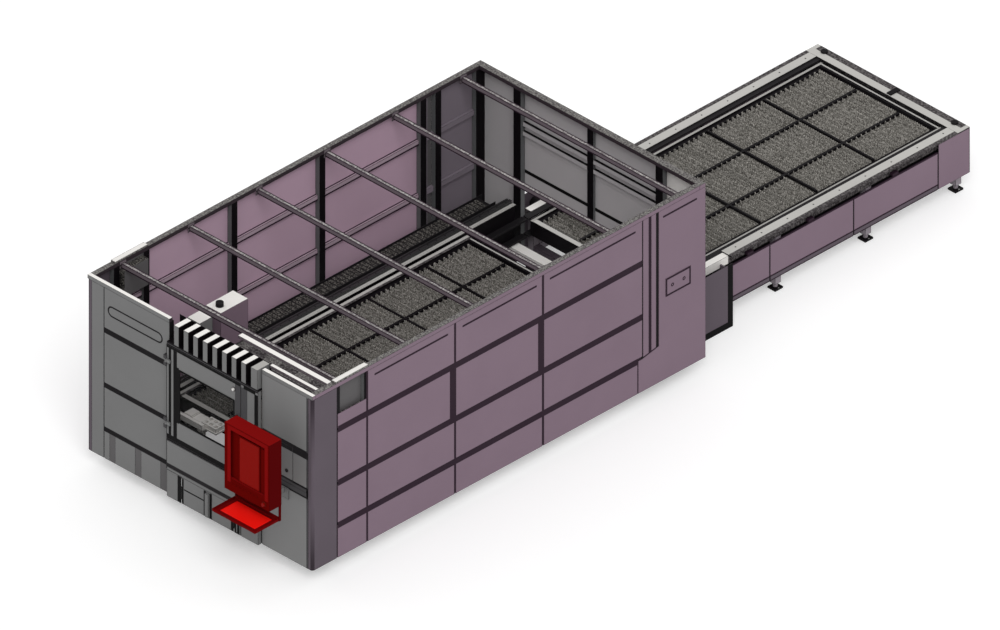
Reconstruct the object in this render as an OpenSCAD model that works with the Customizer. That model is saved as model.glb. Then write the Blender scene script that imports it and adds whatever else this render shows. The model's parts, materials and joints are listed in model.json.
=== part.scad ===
/* [Enclosure] */
// Width of the enclosure over its two side walls
body_w = 3120; // [3080:10:3300]
// Length of the enclosure from its front face to its rear face
body_l = 5450; // [5430:10:5600]
// Height of the top rails above the floor
body_h = 2220; // [2200:10:2400]
// Height of the lower edge of the skirt above the floor
skirt_z = 180; // [150:5:184]
// Thickness of the cover sheets
sheet_t = 3; // [2:0.5:4]
// Gap between two cover sheets of a side wall
seam = 30; // [20:1:40]
// Gap between two cover sheets of the front
front_seam = 44; // [30:1:50]
// Gap left between two frame members that are bolted together
fit = 0.4; // [0.3:0.05:0.6]

/* [Side bays] */
// Length of the closed corner panel of a side wall
corner_l = 344; // [320:2:360]
// Length of the service bay behind the corner
service_l = 414; // [400:2:440]
// Length of each of the two long bays
bay_l = 1219; // [1200:1:1225]
// Length of the rear bay, with the cover plate of the service sockets
rear_bay_l = 667; // [640:1:700]
// Length of the narrow bay with the upright grooves
groove_l = 205; // [180:1:215]
// Height of the lowest seam of a side wall
side_low_z = 575; // [540:5:600]
// Height of the middle seam of a side wall
side_mid_z = 1050; // [1000:5:1100]
// Height of the highest seam of a side wall
side_high_z = 1680; // [1600:5:1720]
// Width of a wall post along the wall
post_w = 80; // [60:2:90]
// Depth of a wall post into the enclosure
post_d = 60; // [50:2:70]
// Height of the top rails
rail_h = 44; // [36:1:50]
// Number of roof beams
roof_beams = 6; // [4:1:8]
// Distance of the first roof beam behind the front face
roof_beam_y = 400; // [380:5:420]
// Width and height of a roof beam
roof_beam_w = 50; // [30:1:54]

/* [Front] */
// Width of the narrow column at the front's left end
left_post_w = 230; // [200:5:250]
// Left edge of the front door, from the middle plane
door_x = -415; // [-430:5:-400]
// Width of the front door
door_w = 1020; // [1000:5:1025]
// Height of the front door's lower edge
door_z = 860; // [850:5:880]
// Height of the front door's upper edge
door_top_z = 1950; // [1900:5:1955]
// How far the door group stands out from the front face
step_out = 45; // [44:1:60]
// Width of the pillar between the door and the control panels
pillar_w = 235; // [220:5:240]
// Gap beside the door and the pillar
door_gap = 10; // [8:1:12]
// Distance from the door's left edge to its window
window_in = 180; // [150:5:190]
// Width of the window in the front door
window_w = 750; // [700:10:760]
// Height of the window in the front door
window_h = 600; // [540:10:630]
// Height of the window's lower edge
window_z = 1120; // [1060:10:1140]
// Thickness of the laser safety glass
glass_t = 10; // [6:1:12]
// Number of ventilation baffles over the door
fins = 8; // [6:1:8]
// Distance from one baffle to the next
fin_pitch = 133; // [125:1:140]
// Width of a baffle
fin_w = 65; // [50:1:80]
// Depth of a baffle
fin_d = 180; // [150:5:200]
// Width of the narrow panel between the small locked door and the corner
narrow_panel_w = 215; // [200:5:230]
// Height of the seam under the small locked door
right_low_z = 1040; // [1030:5:1050]
// Height of the seam over the small locked door
right_high_z = 1520; // [1480:5:1560]

/* [Slag drawer] */
// Distance from the door's left edge to the drawer's front
drawer_in = 210; // [200:5:220]
// Width of the drawer's front
drawer_w = 717; // [700:1:725]
// Height of the drawer's front
drawer_h = 290; // [270:5:300]
// Depth of the drawer's box
drawer_d = 1150; // [1000:10:1200]

/* [Bed] */
// Height of the bed's side beams, top face above the floor
bed_top_z = 900; // [890:5:920]
// Underside of the bed's side beams above the floor
bed_low_z = 200; // [190:5:205]
// Width of a bed side beam
bed_beam_w = 114; // [104:2:120]
// Distance of the bed's front end behind the front face
bed_front_y = 450; // [440:5:470]
// Distance from the bed's rear end to the rear face
bed_rear_gap = 160; // [150:1:170]
// Width of a gantry guide rail
guide_w = 35; // [30:1:40]
// Height of a gantry guide rail
guide_h = 34; // [30:1:38]
// Height of a levelling foot's base plate
foot_t = 20; // [15:1:25]
// Side of a levelling foot's square base plate
foot_w = 200; // [190:5:220]
// Spacing of the anchor holes in a base plate
anchor_pitch = 140; // [130:5:150]
// Radius of an anchor hole
anchor_r = 9; // [7:0.5:10]

/* [Pallets] */
// Width of a pallet over its side rails
pallet_w = 1680; // [1660:5:1690]
// Length of a pallet
pallet_l = 4030; // [4000:5:4040]
// Height of a pallet's frame
pallet_h = 100; // [95:1:104]
// Width of a pallet's side rail
pallet_rail_w = 30; // [24:1:36]
// Height of a support slat
slat_h = 85; // [75:1:88]
// Thickness of a support slat
slat_t = 4; // [3:0.5:6]
// Distance from one support slat to the next
slat_pitch = 67; // [60:1:80]
// How far the slats stand above the pallet's frame
slat_over = 70; // [60:1:75]
// Width of the comb bars that hold the slats' ends
comb_w = 44; // [36:1:50]
// Distance of a parked pallet's front end behind the front face
pallet_y = 550; // [540:5:560]
// How far the pallet on the exchange table reaches into the enclosure
parked_in = 30; // [25:5:50]
// Height of the upper pallet rails
upper_rail_z = 710; // [705:1:720]
// Step from the upper pallet rails down to the lower ones
level_step = 200; // [198:1:205]
// Thickness of a pallet rail
pallet_track_t = 20; // [16:1:22]
// Radius of a pallet wheel
wheel_r = 40; // [36:1:42]
// Width of a pallet wheel
wheel_w = 30; // [26:1:32]
// Gap between a pallet's side rail and its wheel
wheel_gap = 25; // [20:1:28]
// Gap between a pallet wheel and the inner face of the bed
track_gap = 31; // [30:1:36]
// Radius of a pallet axle
axle_r = 12; // [10:0.5:14]
// Running clearance round a pin or an axle
running = 0.05; // [0.03:0.01:0.08]
// Thickness of the chain that moves the pallets
chain_t = 12; // [8:1:14]
// Radius of a chain sprocket
sprocket_r = 55; // [45:1:60]

/* [Gantry] */
// Depth of the gantry beam
beam_d = 200; // [160:5:220]
// Height of the gantry beam
beam_h = 220; // [180:5:240]
// Underside of the gantry beam above the floor
beam_z = 1045; // [1040:5:1060]
// Distance of the gantry beam behind the front face at rest
beam_y = 1100; // [1090:5:1110]
// Length of a gantry end plate along the bed
end_plate_l = 470; // [420:5:480]
// Thickness of a gantry end plate
end_plate_t = 40; // [30:1:45]
// Radius of a gantry drive pinion
pinion_r = 30; // [26:1:34]
// Distance of the carriage from the middle plane at rest
carriage_x = 755; // [740:5:760]
// Width of the carriage
carriage_w = 210; // [190:5:220]
// Height of the carriage cover's top above the floor
carriage_top_z = 1750; // [1700:5:1800]
// Radius of the carriage drive pinion
carriage_pinion_r = 25; // [20:1:28]
// Width of the head's cover
head_w = 170; // [150:5:180]
// Depth of the head's cover
head_d = 180; // [160:5:190]
// Height of the nozzle's tip above the floor at rest
nozzle_z = 1002; // [1000:1:1020]
// Radius of the cutting head's barrel
barrel_r = 38; // [30:1:44]

/* [Exchange table] */
// Gap between the enclosure and the table's side panels
table_gap = 870; // [850:5:890]
// Length of the table's side panels
table_l = 3300; // [3280:5:3320]
// Thickness of a table side panel
table_sheet_t = 3; // [2:0.5:4]
// Width of a table side beam
table_beam_w = 80; // [76:1:90]
// Height of a table side beam
table_beam_h = 90; // [80:1:95]
// Height of the lower edge of the table's side panels
table_skirt_z = 190; // [170:5:210]
// Height of the table's top strips
table_top_z = 722; // [721:1:735]
// Distance from the upper rails down to the table's side panels
table_reveal = 100; // [80:5:110]
// Distance of the guard plate from the middle plane
guard_x = 1160; // [1155:5:1200]
// Length of the guard plate
guard_l = 780; // [700:5:800]
// Height of the guard plate
guard_h = 740; // [700:5:760]

/* [Console] */
// Width of the operator console
console_w = 620; // [580:5:630]
// Height of the operator console
console_h = 770; // [740:5:800]
// Depth of the operator console
console_d = 170; // [150:5:175]
// Height of the console's lower edge
console_z = 1060; // [1055:1:1075]
// Distance from the console's back to the front face
console_gap = 330; // [325:5:340]
// Distance from the console's right edge to the side wall's outer face
console_in = 100; // [95:5:110]
// Reach of the keyboard tray in front of the console's back
tray_d = 355; // [330:5:370]
// Height of the keyboard tray's underside
tray_z = 880; // [875:1:890]
// Thickness of the keyboard tray
tray_t = 30; // [24:1:32]
// Radius of the console's pivot pin
pivot_r = 20; // [16:1:24]

/* [Extraction] */
// Outer radius of the extraction spigot
spigot_r = 100; // [80:5:110]
// Wall of the extraction spigot
spigot_t = 3; // [2:0.5:4]
// How far the spigot stands out of the rear wall
spigot_l = 110; // [100:5:120]

/* [Hidden] */
$fn = 48;

// Colours, close to those of the machine's paint
front_grey = [0.47, 0.47, 0.47];
wall_mauve = [0.51, 0.43, 0.48];
plum = [0.36, 0.31, 0.34];
near_black = [0.12, 0.12, 0.12];
pale = [0.85, 0.84, 0.82];
bare_steel = [0.58, 0.57, 0.53];
console_red = [0.62, 0.06, 0.05];

// Overall length: keyboard tray at the front, exchange table at the rear.
// Lengths along Y are counted from the enclosure's front face, then shifted by front_y.
table_y = body_l + table_gap;
table_end_y = table_y + table_l;
tray_front_y = -console_gap - tray_d;
front_y = -(tray_front_y + table_end_y) / 2;

// Side walls
wall_x = body_w / 2;
skin_x = wall_x - sheet_t;
post_out_x = skin_x - fit;
post_in_x = post_out_x - post_d;
service_y = corner_l + service_l;
bay2_y = service_y + bay_l;
bay3_y = bay2_y + bay_l;
rear_col_y = body_l - rear_bay_l;
groove_y = rear_col_y - groove_l;
groove_mid_y = groove_y + groove_l / 2;
rail_low_z = body_h - rail_h;
rib_h = 60;
rib_d = 34;
groove_w = 12;
wide_groove = 36;
low_seam_y = groove_y - 66;
recess_z = 1860;
lid_h = 22;
bay_case_d = 66;
plate_t = 4;
plate_y = rear_col_y + rear_bay_l / 6;
plate_z = side_mid_z + (side_high_z - side_mid_z) / 7;
plate_l = rear_bay_l * 0.52;
plate_h = (side_high_z - side_mid_z) / 3;
outrigger_h = 80;
outrigger_z = skirt_z + 5;
post_low_z = outrigger_z + outrigger_h + fit;
corner_post_y = 60;
rear_post_y = body_l - sheet_t - fit - post_w / 2;
lift_t = 5;
lift_gap = 0.7;
lift_y = body_l - sheet_t - lift_gap - lift_t;
guide_back_y = lift_y - lift_gap;
gate_post_w = 100;
// Middle of each side wall post along the wall
post_mids = [
    corner_l, service_y, bay2_y, bay3_y, groove_y + 20, rear_col_y + 20
];

// Front
left_post_x = -wall_x + left_post_w;
door_end_x = door_x + door_w;
pillar_x = door_end_x + door_gap;
pillar_end_x = pillar_x + pillar_w;
right_x = pillar_end_x + door_gap;
corner_w = 60;
corner_r = 30;
key_door_end_x = wall_x - corner_w - narrow_panel_w;
front_post_w = 50;
front_post_d = 60;
front_in_y = sheet_t + fit;
front_back_y = front_in_y + front_post_d;
front_top_z = body_h - rail_h;
flange_w = 45;
fin_z = door_top_z + 40;
window_x = door_x + window_in;
hinge_x = door_x - 5;
hinge_y = -step_out - 11;
hinge_r = 11;
pin_r = 6;
knuckle_l = 40;

// Small locked door
key_hinge_x = pillar_end_x + 6;
key_hinge_y = -8;
key_hinge_r = 5;
key_pin_r = 2.5;
lock_x = key_door_end_x - 80;
lock_z = right_low_z + 160;
lock_r = 11;

// Slag drawer
drawer_x = door_x + drawer_in;
drawer_end_x = drawer_x + drawer_w;
drawer_low_z = skirt_z + 20;
drawer_in_x = drawer_x + 20;
drawer_in_end_x = drawer_end_x - 20;
drawer_box_h = drawer_h - 90;

// Bed and pallets
bed_rear_y = body_l - bed_rear_gap;
exchange_travel = body_l - parked_in - pallet_y;
pallet_half = pallet_w / 2;
wheel_in_x = pallet_half + wheel_gap;
wheel_out_x = wheel_in_x + wheel_w;
bed_in_x = wheel_out_x + track_gap;
bed_out_x = bed_in_x + bed_beam_w;
gate_x = bed_in_x + 9;
track_in_x = wheel_in_x - 10;
track_out_x = bed_in_x - fit;
lower_rail_z = upper_rail_z - level_step;
frame_low = wheel_r - 30;
axle_inset = 330;
slat_len = pallet_w - 2 * (pallet_rail_w + comb_w + 2 * fit);
guide_x = bed_in_x + 46;
rack_in_x = guide_x + guide_w / 2 + 16;
rack_w = 24;
rack_h = 25;
guide_top_z = bed_top_z + guide_h;
beam_wall = 12;
feet_in = 250;
feet_rear_in = 390;
feet_y = [for (i = [0:3])
    bed_front_y + feet_in + i * (bed_rear_y - bed_front_y - feet_in - feet_rear_in) / 3];
cross_in = 1030;
cross_rear_in = 490;
cross_y = [for (i = [0:3])
    bed_front_y + cross_in + i * (bed_rear_y - bed_front_y - cross_in - cross_rear_in) / 3];
cross_l = 100;
cross_h = 90;
chute_l = 480;
chute_t = 6;
chute_tilt = 18;

// Gantry
end_plate_z = beam_z - fit - end_plate_t;
end_plate_y = beam_y + beam_d / 2 - end_plate_l / 2;
end_in_x = guide_x - 50;
pinion_x = rack_in_x + rack_w + fit + pinion_r;
end_out_x = pinion_x + 48;
pinion_y = end_plate_y + 70;
beam_half = bed_out_x + 20;
motor_top_z = beam_z + beam_h - 30;
block_w = 84;
block_l = 110;
motor_r = 40;
shaft_r = 10;
front_guide = 20;
front_guide_y = beam_y - front_guide;
low_guide_z = beam_z + 30;
high_guide_z = beam_z + beam_h - 50;
carriage_rack_z = beam_z + 75;
carriage_rack_h = 22;
carriage_pinion_z = carriage_rack_z + carriage_rack_h + fit + carriage_pinion_r;
saddle_t = 25;
saddle_y = front_guide_y - 12 - saddle_t;
saddle_top_z = beam_z + beam_h + 34;
column_d = 104;
column_y = saddle_y - column_d - fit;
cover_front_y = column_y;
cover_d = 380;
slide_y = column_y - 16;
head_x = -carriage_x + 5;
head_rear_y = slide_y - fit - 20;
head_y = 660 + head_d / 2;
barrel_top_z = 1240;

// Cable tray
cable_tray_x = bed_out_x + (post_in_x - bed_out_x) * 0.114;
cable_tray_w = (post_in_x - bed_out_x) * 0.416;
cable_tray_y = [bed_front_y + 500, bed_rear_y - 100];
cable_tray_z = bed_top_z - 90;

// Extraction duct
duct_x = (bed_out_x + wall_x) / 2 - 10;
duct_z = 480;
duct_half = 120;

// Exchange table
table_half = bed_in_x + table_beam_w + 45 + table_sheet_t;
table_beam_x = bed_in_x + table_beam_w;
table_top_beam_z = upper_rail_z - table_beam_h;
table_cross_t = 80;
rear_strip_w = 165;
foot_over = 15;
joint_t = 3;
table_rail_y = body_l + 60;
leg_w = 80;
first_leg_in = 650;
last_leg_in = 150;
legs_y = [
    table_rail_y + 40, table_y + first_leg_in,
    table_y + (first_leg_in + table_l - last_leg_in) / 2, table_y + table_l - last_leg_in
];
panel_seams = [for (part = [0, 0.16, 0.512, 0.867, 1]) part * table_l];
panel_gap = 14;
sprocket_y = body_l + 330;
shoe_y = table_end_y - 260;
chain_z = (upper_rail_z + lower_rail_z) / 2 - 8;
chain_in_x = wheel_out_x + 7;
chain_w = 16;
sprocket_t = 14;
stub_r = 14;
stub_l = 60;
drive_plate_t = 12;
drive_motor_r = 60;

// Console
console_right = wall_x - console_in;
console_x = console_right - console_w;
console_mid_x = console_right - console_w / 2;
console_back_y = -console_gap;
console_front_y = console_back_y - console_d;
pivot_y = console_back_y + 62;
arm_z = right_low_z - 100;
arm_h = 60;
boss_r = 42;
tray_pin_y = console_back_y - 15;
tray_pin_z = tray_z + tray_t / 2;
tray_pin_r = 6;
tray_wall = 6;
cheek_t = 8;
button_r = 20;
button_x = console_right - 70;
button_z = console_z + 60;

module place() {
    translate([0, front_y, 0])
        children();
}

// A plain block between two corners
module block(x, y, z) {
    translate([x[0], y[0], z[0]])
        cube([x[1] - x[0], y[1] - y[0], z[1] - z[0]]);
}

module both_sides() {
    children();
    mirror([1, 0, 0])
        children();
}

module rod_z(x, y, z0, z1, r) {
    translate([x, y, z0])
        cylinder(r = r, h = z1 - z0);
}

module rod_x(x0, x1, y, z, r) {
    translate([x0, y, z])
        rotate([0, 90, 0])
            cylinder(r = r, h = x1 - x0);
}

module rod_y(x, y0, y1, z, r) {
    translate([x, y1, z])
        rotate([90, 0, 0])
            cylinder(r = r, h = y1 - y0);
}

// A sheet cover with an open underside
module hood(x, y, z) {
    difference() {
        block(x, y, z);
        block([x[0] + sheet_t, x[1] - sheet_t], [y[0] + sheet_t, y[1] - sheet_t],
            [z[0] - 1, z[1] - sheet_t]);
    }
}

// Bed

module bed_side_beams() {
    color(pale) place() both_sides()
        difference() {
            block([bed_in_x, bed_out_x], [bed_front_y, bed_rear_y], [bed_low_z, bed_top_z]);
            block([bed_in_x + beam_wall, bed_out_x - beam_wall],
                [bed_front_y - 1, bed_rear_y + 1], [bed_low_z + beam_wall, bed_top_z - beam_wall]);
        }
}

module bed_cross_beams() {
    x = bed_in_x - fit;
    color(pale) place() {
        for (y = cross_y)
            block([-x, x], [y, y + cross_l], [bed_low_z, bed_low_z + cross_h]);
        block([-x, x], [bed_front_y - 30, bed_front_y + 60], [lower_rail_z - 65, lower_rail_z - 25]);
        block([-x, x], [bed_rear_y - 110, bed_rear_y], [lower_rail_z - 145, lower_rail_z - 40]);
    }
}

module anchor_holes(x, y) {
    for (dx = [-1, 1], dy = [-1, 1])
        rod_z(x + dx * anchor_pitch / 2, y + dy * anchor_pitch / 2, -1, foot_t + 1, anchor_r);
}

module bed_feet() {
    x = (bed_in_x + bed_out_x) / 2;
    color(near_black) place() both_sides() for (y = feet_y) {
        difference() {
            block([x - foot_w / 2, x + foot_w / 2], [y - foot_w / 2, y + foot_w / 2], [0, foot_t]);
            anchor_holes(x, y);
        }
        rod_z(x, y, foot_t + fit, bed_low_z - fit, 42);
    }
}

module gantry_guides() {
    color(bare_steel) place() both_sides() {
        block([guide_x - guide_w / 2, guide_x + guide_w / 2],
            [bed_front_y + 20, bed_rear_y - 10], [bed_top_z + fit, guide_top_z]);
        block([rack_in_x, rack_in_x + rack_w],
            [bed_front_y + 20, bed_rear_y - 10], [bed_top_z + fit, bed_top_z + rack_h]);
    }
}

// Two levels of rails, in the bed and on through the exchange table
module pallet_rails() {
    color(bare_steel) place() both_sides() for (z = [upper_rail_z, lower_rail_z]) {
        block([track_in_x, track_out_x], [bed_front_y + 40, body_l - 60],
            [z - pallet_track_t, z]);
        block([track_in_x, track_out_x], [body_l - 40, table_end_y - 100 - fit],
            [z - pallet_track_t, z]);
    }
}

// Sloping plates that lead slag and small cut pieces to the middle of the bed
module slag_chutes() {
    z = bed_low_z + cross_h + fit + chute_l * sin(chute_tilt) + chute_t * cos(chute_tilt);
    color(plum) place() both_sides()
        translate([bed_in_x - 12, cross_y[0], z])
            rotate([0, -180 - chute_tilt, 0])
                cube([chute_l, cross_y[3] + cross_l - cross_y[0], chute_t]);
}

// Enclosure

module base_frame() {
    x0 = bed_out_x + fit;
    lo = outrigger_z;
    hi = outrigger_z + outrigger_h;
    color(near_black) place() {
        both_sides() {
            for (y = post_mids)
                block([x0, post_out_x], [y - post_w / 2, y + post_w / 2], [lo, hi]);
            block([x0, post_out_x], [rear_post_y - 100, rear_post_y - 20], [lo, hi]);
            block([bed_in_x, bed_in_x + 80], [front_back_y + 20 + fit, bed_front_y - fit],
                [lo, hi - 10]);
        }
        // The ends of the two sills guide the slag drawer
        block([-wall_x + corner_r, drawer_in_x - fit], [front_in_y, front_back_y + 20], [lo, hi]);
        block([drawer_in_end_x + fit, wall_x - corner_r], [front_in_y, front_back_y + 20], [lo, hi]);
    }
}

module wall_posts() {
    color(near_black) place() {
        both_sides() {
            for (y = post_mids)
                block([post_in_x, post_out_x], [y - post_w / 2, y + post_w / 2],
                    [post_low_z, rail_low_z - fit]);
            block([post_in_x, post_out_x], [rear_post_y - post_w, rear_post_y + post_w / 2],
                [post_low_z, rail_low_z - fit]);
            block([gate_x, gate_x + gate_post_w], [guide_back_y - post_d, guide_back_y],
                [skirt_z, rail_low_z - fit]);
        }
        block([-42, 42], [guide_back_y - 30, guide_back_y],
            [side_mid_z + 10, rail_low_z - fit]);
    }
}

// Level ribs behind the seams, between one post and the next
module wall_ribs() {
    ends = concat(post_mids, [rear_post_y - post_w / 2]);
    rows = [skirt_z, side_low_z, side_mid_z, side_high_z, rail_low_z];
    strip_t = 6;
    color(wall_mauve) place() {
        both_sides() for (i = [0:len(ends) - 2], z = [side_low_z, side_mid_z, side_high_z])
            if (ends[i + 1] - ends[i] > post_w + 20)
                block([post_out_x - rib_d, post_out_x],
                    [ends[i] + post_w / 2 + fit, ends[i + 1] - post_w / 2 - fit],
                    [z - rib_h / 2, z + rib_h / 2]);
        // Upright strips behind the groove between the last two posts
        both_sides() for (i = [0:3])
            block([post_out_x - strip_t, post_out_x],
                [groove_mid_y - 24, groove_mid_y + 24],
                [i == 0 ? skirt_z : rows[i] + rib_h / 2 + fit,
                    i == 3 ? rail_low_z - fit : rows[i + 1] - rib_h / 2 - fit]);
        // The same behind the seam of the lowest row
        both_sides()
            block([post_out_x - strip_t, post_out_x], [low_seam_y - 24, low_seam_y + 24],
                [skirt_z, side_low_z - rib_h / 2 - fit]);
        // The double beam of the rear wall, in front of the lift door
        for (z = [side_high_z - 35, side_high_z + 75])
            both_sides()
                block([42 + fit, gate_x - fit], [guide_back_y - 30, guide_back_y],
                    [z, z + 50]);
    }
}

// Height of the slanting seam under the two strips
function slant_z(y) = side_low_z - seam / 2 + (y - groove_y + groove_w / 2) * 0.2;

// A sheet of the wall at +X from its outline along the wall and up
module wall_outline(points) {
    translate([skin_x, 0, 0])
        rotate([90, 0, 90])
            linear_extrude(sheet_t)
                polygon(points);
}

// Four sheets over one another, from y0 to y1 on the wall at +X; the lowest ends at low_y1
module wall_column(y0, y1, top_z, low_y1 = undef) {
    rows = [skirt_z, side_low_z, side_mid_z, side_high_z, top_z];
    for (i = [0:3])
        block([skin_x, wall_x], [y0, i == 0 && low_y1 != undef ? low_y1 : y1],
            [rows[i] + (i == 0 ? 0 : seam / 2), rows[i + 1] - (i == 3 ? fit : seam / 2)]);
}

module wall_sheets() {
    half = groove_w / 2;
    wall_column(corner_l + half, service_y - half, recess_z);
    wall_column(service_y + half, bay2_y - half, rail_low_z);
    wall_column(bay2_y + half, bay3_y - half, rail_low_z);
    wall_column(bay3_y + half, groove_y - half, rail_low_z, low_seam_y - half);
    // Two narrow strips between the grooves, cut off slantwise at the bottom
    for (y = [[groove_y + half, groove_mid_y - wide_groove / 2],
            [groove_mid_y + wide_groove / 2, rear_col_y - wide_groove / 2]])
        wall_outline([
            [y[0], slant_z(y[0]) + 14], [y[1], slant_z(y[1]) + 14],
            [y[1], rail_low_z - fit], [y[0], rail_low_z - fit]
        ]);
    // Rear sheet, which runs on under the two strips
    wall_outline([
        [low_seam_y + half, skirt_z], [body_l, skirt_z], [body_l, rail_low_z - fit],
        [rear_col_y + wide_groove / 2, rail_low_z - fit],
        [rear_col_y + wide_groove / 2, slant_z(rear_col_y + wide_groove / 2)],
        [groove_y - half, slant_z(groove_y - half)],
        [low_seam_y + half, slant_z(groove_y - half)]
    ]);
}

module right_wall_sheets() {
    color(wall_mauve) place()
        wall_sheets();
}

module left_wall_sheets() {
    color(wall_mauve) place()
        mirror([1, 0, 0])
            wall_sheets();
}

// Rounded corners of the front, with the sunk plate and the casing of the service bay
// behind each
module corner_covers() {
    r = corner_r;
    case_y = [corner_l + post_w / 2 + fit, service_y - post_w / 2 - fit];
    case_x = post_in_x - bay_case_d;
    case_z = [recess_z - 30, body_h - 30 - roof_beam_w - fit];
    color(plum) place() both_sides() {
        difference() {
            union() {
                block([wall_x - r, wall_x], [r, corner_l - groove_w / 2], [skirt_z, rail_low_z - fit]);
                block([wall_x - corner_w, wall_x - r], [0, r], [skirt_z, rail_low_z - fit]);
                rod_z(wall_x - r, r, skirt_z, rail_low_z - fit, r);
            }
            union() {
                block([wall_x - r, skin_x], [r, corner_l], [0, body_h]);
                block([wall_x - corner_w - 1, wall_x - r], [sheet_t, corner_l], [0, body_h]);
                rod_z(wall_x - r, r, 0, body_h, r - sheet_t);
            }
        }
        block([post_in_x + 14, post_in_x + 17], case_y, [recess_z - 30, rail_low_z - fit]);
        difference() {
            block([case_x, post_in_x + 14 - fit], case_y, case_z);
            block([case_x + sheet_t, post_in_x + 15],
                [case_y[0] + sheet_t, case_y[1] - sheet_t],
                [case_z[0] + sheet_t, case_z[1] - sheet_t]);
        }
    }
}

// Cover plates over the service sockets, at the rear ends of the walls
module interface_plates() {
    color(plum) place() both_sides()
        block([wall_x + fit, wall_x + plate_t], [plate_y, plate_y + plate_l],
            [plate_z, plate_z + plate_h]);
}

module top_rails() {
    color(pale) place() {
        both_sides()
            block([post_in_x, wall_x], [flange_w + fit, body_l - post_w - fit],
                [rail_low_z, body_h]);
        // Raised lids of the two service bays
        both_sides()
            block([post_in_x, wall_x], [corner_l - 20, service_y + 20],
                [body_h + fit, body_h + lid_h]);
        block([-wall_x, wall_x], [body_l - post_w, body_l], [rail_low_z, body_h]);
        block([-wall_x, door_x - door_gap], [0, flange_w], [rail_low_z, body_h]);
        block([right_x, wall_x], [0, flange_w], [rail_low_z, body_h]);
    }
}

module roof_struts() {
    x = post_in_x - fit;
    pitch = (body_l - 330 - roof_beam_y) / (roof_beams - 1);
    color(pale) place() {
        for (i = [0:roof_beams - 1])
            block([-x, x], [roof_beam_y + i * pitch, roof_beam_y + i * pitch + roof_beam_w],
                [body_h - 30 - roof_beam_w, body_h - 30]);
        // The two cover strips behind the front rail
        block([right_x, x], [110, 150], [body_h - 30, body_h]);
        block([right_x - 600, x], [270, 330], [body_h - 30, body_h]);
    }
}

// Front

// Ribs behind the seams between two front posts
module front_ribs(x0, x1, heights) {
    for (z = heights)
        block([x0 + front_post_w / 2 + fit, x1 - front_post_w / 2 - fit],
            [front_in_y, front_in_y + 30], [z - 40, z + 40]);
}

module front_frame() {
    y = [front_in_y, front_back_y];
    end_x = wall_x - 90;
    door_post_x = door_x - 35;
    right_post_x = right_x + 30;
    key_post_x = key_door_end_x + 10;
    tray_low_z = fin_z - 20;
    color(near_black) place() {
        for (x = [-end_x, left_post_x, door_post_x, right_post_x, key_post_x, end_x])
            block([x - front_post_w / 2, x + front_post_w / 2], y,
                [post_low_z, rail_low_z - fit]);
        block([pillar_x, pillar_x + front_post_w], y, [post_low_z, tray_low_z - fit]);
        front_ribs(left_post_x, door_post_x, [side_low_z - 55, right_low_z, side_high_z]);
        front_ribs(right_post_x, key_post_x, [right_low_z, right_high_z]);
        front_ribs(key_post_x, end_x, [right_low_z, right_high_z]);
        // Header and sill of the doorway
        block([door_x - 10 + fit, pillar_x - fit], y, [tray_low_z - 40, tray_low_z - fit]);
        block([door_x - 10 + fit, pillar_x - fit], y, [door_z - 50, door_z - 10]);
        // Keeper that the lock's cam turns behind
        block([lock_x + 36, key_post_x - front_post_w / 2 - fit], [20, 27.6],
            [lock_z - 12, lock_z + 12]);
    }
}

// A slot-shaped groove, cut into the face at y = 0
module slot_groove(x0, x1, z0, z1, w) {
    r = (z1 - z0) / 2;
    translate([0, 1.2, 0])
        rotate([90, 0, 0])
            linear_extrude(2)
                difference() {
                    union() {
                        translate([x0 + r, z0])
                            square([x1 - x0 - 2 * r, 2 * r]);
                        for (x = [x0 + r, x1 - r])
                            translate([x, z0 + r])
                                circle(r);
                    }
                    translate([x0 + r, z0 + w])
                        square([x1 - x0 - 2 * r, 2 * r - 2 * w]);
                    for (x = [x0 + r, x1 - r])
                        translate([x, z0 + r])
                            circle(r - w);
                }
}

module left_front_covers() {
    x0 = left_post_x + 4;
    x1 = door_x - door_gap;
    low = side_low_z - 55;
    gap = front_seam / 2;
    // The skirt's three sunk strips, and where the sheets between them begin
    strip_w = [78, 84, 121];
    strip_x = [for (i = [0:2]) x0 + 74 + i * (x1 - x0 - 74 - strip_w[2]) / 2];
    sheet_x = [x0, strip_x[0] + strip_w[0], strip_x[1] + strip_w[1]];
    color(front_grey) place() {
        block([-wall_x + corner_w + fit, left_post_x - 4], [0, sheet_t], [skirt_z, rail_low_z - fit]);
        for (z = [[low + gap, right_low_z - gap], [right_low_z + gap, side_high_z - gap]])
            block([x0, x1], [0, sheet_t], z);
        difference() {
            block([x0, x1], [0, sheet_t], [side_high_z + gap, rail_low_z - fit]);
            slot_groove(x0 + 50, x1 - 95, rail_low_z - 300, rail_low_z - 180, 10);
        }
        for (i = [0:2]) {
            block([sheet_x[i], strip_x[i]], [0, sheet_t], [skirt_z, low - gap]);
            block([strip_x[i] + fit, strip_x[i] + strip_w[i] - fit], [1, sheet_t],
                [skirt_z, low - gap]);
        }
    }
}

module right_front_covers() {
    x1 = wall_x - corner_w - fit;
    gap = front_seam / 2;
    color(front_grey) place() {
        block([right_x, x1], [0, sheet_t], [right_high_z + gap, rail_low_z - fit]);
        block([key_door_end_x + 5, x1], [0, sheet_t], [right_low_z + gap, right_high_z - gap]);
        block([right_x, x1], [0, sheet_t], [skirt_z, right_low_z - gap]);
    }
}

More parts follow.
